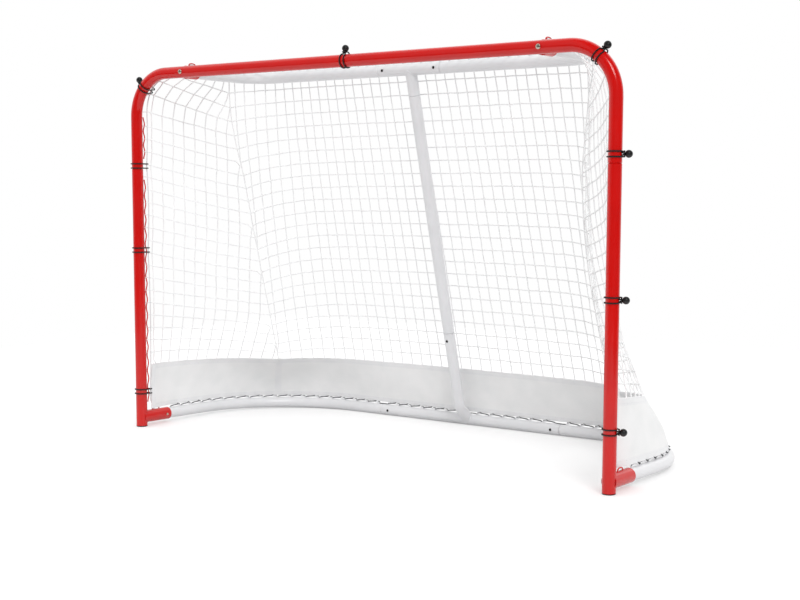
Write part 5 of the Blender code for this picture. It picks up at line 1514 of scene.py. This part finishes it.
def loop_route(centre, along_tube, to_rope, ball_heading, slack):
    """Centre line of a doubled cord round the tube and the rope, hooked under its ball."""
    e1 = to_rope.normalized()
    e2 = along_tube.cross(e1).normalized()
    e2 = -e2 if ball_heading.dot(e2) < 0 else e2
    tube_r = TUBE_R + GAP + CORD_R
    rope_r = EDGE_ROPE_R + GAP + CORD_R + slack
    leave = math.acos((tube_r - rope_r) / to_rope.length)
    ball_angle = math.acos(max(-1.0, min(1.0, ball_heading.dot(e1))))

    def on_tube(angle, lift=0.0):
        return (e1 * math.cos(angle) + e2 * math.sin(angle)) * (tube_r + lift)

    def stations(first, last):
        count = max(1, math.ceil((last - first) / LOOP_STEP))
        return [on_tube(first + (last - first) * k / count) for k in range(count + 1)]

    around = stations(ball_angle + LOOP_START, 2 * math.pi - leave)
    for step in range(ROPE_TURN_STEPS + 1):
        angle = -leave + 2 * leave * step / ROPE_TURN_STEPS
        around.append(to_rope + (e1 * math.cos(angle) + e2 * math.sin(angle)) * rope_r)
    if ball_angle - LOOP_END > leave:
        around += stations(leave, ball_angle - LOOP_END)
    ball_side = e2 * math.cos(ball_angle) - e1 * math.sin(ball_angle)
    neck = CORD_R + GAP
    over = 2 * CORD_R + GAP
    strand = [
        (ball_heading * (BALL_SEAT + CORD_R), neck),
        (ball_heading * (tube_r + 2 * GAP) + ball_side * 0.0045, neck)]
    strand += [(point, CORD_SPREAD) for point in around]
    strand += [
        (on_tube(ball_angle, over * 0.6) - ball_side * 0.0055, CORD_SPREAD),
        (on_tube(ball_angle, over) + ball_side * 0.0035, CORD_SPREAD),
        (on_tube(ball_angle, over) + ball_side * 0.0090, CORD_SPREAD * 0.5)]
    first = [centre + point + along_tube * offset for point, offset in strand]
    return first + [centre + point - along_tube * offset for point, offset in reversed(strand)]


# A ball has a short collar where the cord goes in and a fine parting line at its widest.
neck_end = -BALL_R - NECK_LENGTH
ball_profile = [(neck_end, 0.0), (neck_end, NECK_R - 0.0004), (neck_end + 0.0004, NECK_R)]
ball_profile += [(-BALL_R * 0.96, NECK_R), (-BALL_R * 0.88, BALL_R * 0.46)]
for step in range(4, BALL_STEPS):
    turn = math.pi * step / BALL_STEPS
    proud = 0.0002 if step == BALL_STEPS // 2 else 0.0
    ball_profile.append((-BALL_R * math.cos(turn), BALL_R * math.sin(turn) + proud))
ball_profile.append((BALL_R, 0.0))

loops = []
for label, side in SIDES:
    heading = Vector((math.cos(BALL_TURN[side]), math.sin(BALL_TURN[side]), 0))
    to_rope = (INWARD[side] + BACK).normalized() * POST_ROPE_REACH
    for height in LOOP_HEIGHTS[side]:
        loops.append((f"post_{label}", post_point(side, height), UP, to_rope, heading, 0.0))
for label, side in SIDES:
    turn = CORNER_LOOP_TURN[side]
    outward = Vector((side * math.cos(turn), 0, math.sin(turn)))
    low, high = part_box(f"bungee_ball_{len(loops) + 1}_corner_{label}")
    centre = (low + high) / 2 - outward * (BALL_SEAT + BALL_R)
    to_rope = behind_bend(side, turn, rope_reach(turn)) - outward * CORNER_NET_SAG - centre
    tangent = outward.cross(BACK).normalized()
    loops.append((f"corner_{label}", centre, tangent, to_rope, outward, CORNER_LOOP_SLACK))
centre = Vector((CROSSBAR_LOOP_X, FRONT_Y, TOP_Z))
loops.append(("crossbar", centre, Vector((1, 0, 0)), BACK * BAR_ROPE_REACH, UP, 0.0))
for number, (label, centre, along_tube, to_rope, heading, slack) in enumerate(loops, 1):
    body = f"ball_{number}_{label}"
    points = loop_route(centre, along_tube, to_rope, heading, slack)
    cord = piece(
        f"elastic_loop_{number}_{label}", swept("loop", smooth_line(points, CORD_STEP), CORD_R, WIRE_SIDES),
        black_sheath, "black_cord", f"bungee_cord_{number}_{label}", body=None)
    seat = centre + heading * BALL_SEAT
    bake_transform(cord)
    ball = turned("ball", seat + heading * BALL_R, heading, ball_profile, HEAD_SIDES)
    piece(f"moulded_{body}", ball, black_plastic, "black_plastic", f"bungee_{body}", body=body)

# Floor, backdrop, lamps and camera
# Not part of the goal: a white studio sweep, soft lamps and the photograph's point of view.

PHOTO_WIDTH = 800
PHOTO_FOCAL = 1329.07 / PHOTO_WIDTH
PHOTO_SHIFT = (-4.45 / PHOTO_WIDTH, 31.24 / PHOTO_WIDTH)
SENSOR_WIDTH = 36.0
CAMERA_PLACE = Vector((2.4772, -3.5457, 0.8039))
CAMERA_YAW = 0.6152
CAMERA_PITCH = 0.1029
CAMERA_ROLL = 0.0028
FLOOR_SIZE = 3.2
FLOOR_Z = -0.0005
FLOOR_GREY = (0.70, 0.70, 0.70, 1.0)
FLOOR_GLOW = 0.30
SKY_LIGHT = 0.83
ROOM_SIDE = (-0.577, 0.817, 0.0)
LAMPS = (
    ("key", (2.0, -1.7, 2.2), 24, 1.15),
    ("fill", (-2.2, -1.6, 1.4), 70, 0.35),
    ("back", (-0.6, 2.0, 2.2), 60, 0.30))

lens = bpy.data.cameras.new("camera")
lens.sensor_width = SENSOR_WIDTH
lens.lens = PHOTO_FOCAL * SENSOR_WIDTH
lens.shift_x, lens.shift_y = PHOTO_SHIFT
camera = placed("camera", lens)
camera.matrix_world = Matrix.Translation(CAMERA_PLACE)
for angle, axis in ((CAMERA_YAW, "Z"), (QUARTER - CAMERA_PITCH, "X"), (CAMERA_ROLL, "Z")):
    camera.matrix_world = camera.matrix_world @ Matrix.Rotation(angle, 4, axis)
scene = bpy.context.scene
scene.camera = camera
scene.view_settings.view_transform = "Standard"


def bare_tree(owner):
    """The owner's empty node tree, its glossy rays and all rays that look at a surface itself."""
    owner.use_nodes = True
    tree = owner.node_tree
    tree.nodes.clear()
    rays = add_node(tree, "ShaderNodeLightPath").outputs
    glossy = rays["Is Glossy Ray"]
    seen = add_node(tree, "ShaderNodeMath", {0: rays["Is Camera Ray"], 1: glossy}, operation="MAXIMUM")
    seen = add_node(tree, "ShaderNodeMath", {0: seen, 1: rays["Is Transmission Ray"]}, operation="MAXIMUM")
    return tree, glossy, seen


floor_material = bpy.data.materials.new("studio_floor")
tree, glossy, seen = bare_tree(floor_material)
matt = add_node(tree, "ShaderNodeBsdfDiffuse", {"Color": FLOOR_GREY})
lift = add_node(tree, "ShaderNodeMath", {0: seen, 1: FLOOR_GLOW}, operation="MULTIPLY")
glow = add_node(tree, "ShaderNodeEmission", {"Strength": lift})
both = add_node(tree, "ShaderNodeAddShader", {0: matt, 1: glow})
add_node(tree, "ShaderNodeOutputMaterial", {"Surface": both})
form = bmesh.new()
bmesh.ops.create_grid(form, x_segments=2, y_segments=2, size=FLOOR_SIZE)
mesh = as_mesh("floor", form)
mesh.materials.append(floor_material)
floor = placed("floor", mesh)
floor.location.z = FLOOR_Z
floor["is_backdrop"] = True

scene.world = bpy.data.worlds.new("studio")
tree, glossy, seen = bare_tree(scene.world)
heading = add_node(tree, "ShaderNodeTexCoord").outputs["Generated"]
facing = add_node(tree, "ShaderNodeVectorMath", {0: heading, 1: ROOM_SIDE}, operation="DOT_PRODUCT")
room = add_node(
    tree, "ShaderNodeMapRange", {"Value": facing, "From Min": -0.1, "From Max": 0.5, "To Min": 0.05},
    interpolation_type="SMOOTHSTEP")
mirrored = add_node(tree, "ShaderNodeMix", {"Factor": glossy, "A": 1.0, "B": room}, data_type="FLOAT")
strength = add_node(
    tree, "ShaderNodeMix", {"Factor": seen, "A": SKY_LIGHT, "B": mirrored}, data_type="FLOAT")
sky = add_node(tree, "ShaderNodeBackground", {"Color": (1, 1, 1, 1), "Strength": strength})
add_node(tree, "ShaderNodeOutputWorld", {"Surface": sky})

for name, place, spread, strength in LAMPS:
    lamp = bpy.data.lights.new(name, "SUN")
    lamp.angle = math.radians(spread)
    lamp.energy = strength
    holder = placed(name, lamp)
    holder.location = place
    holder.rotation_euler = Vector(place).to_track_quat("Z", "Y").to_euler()

low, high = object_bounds()
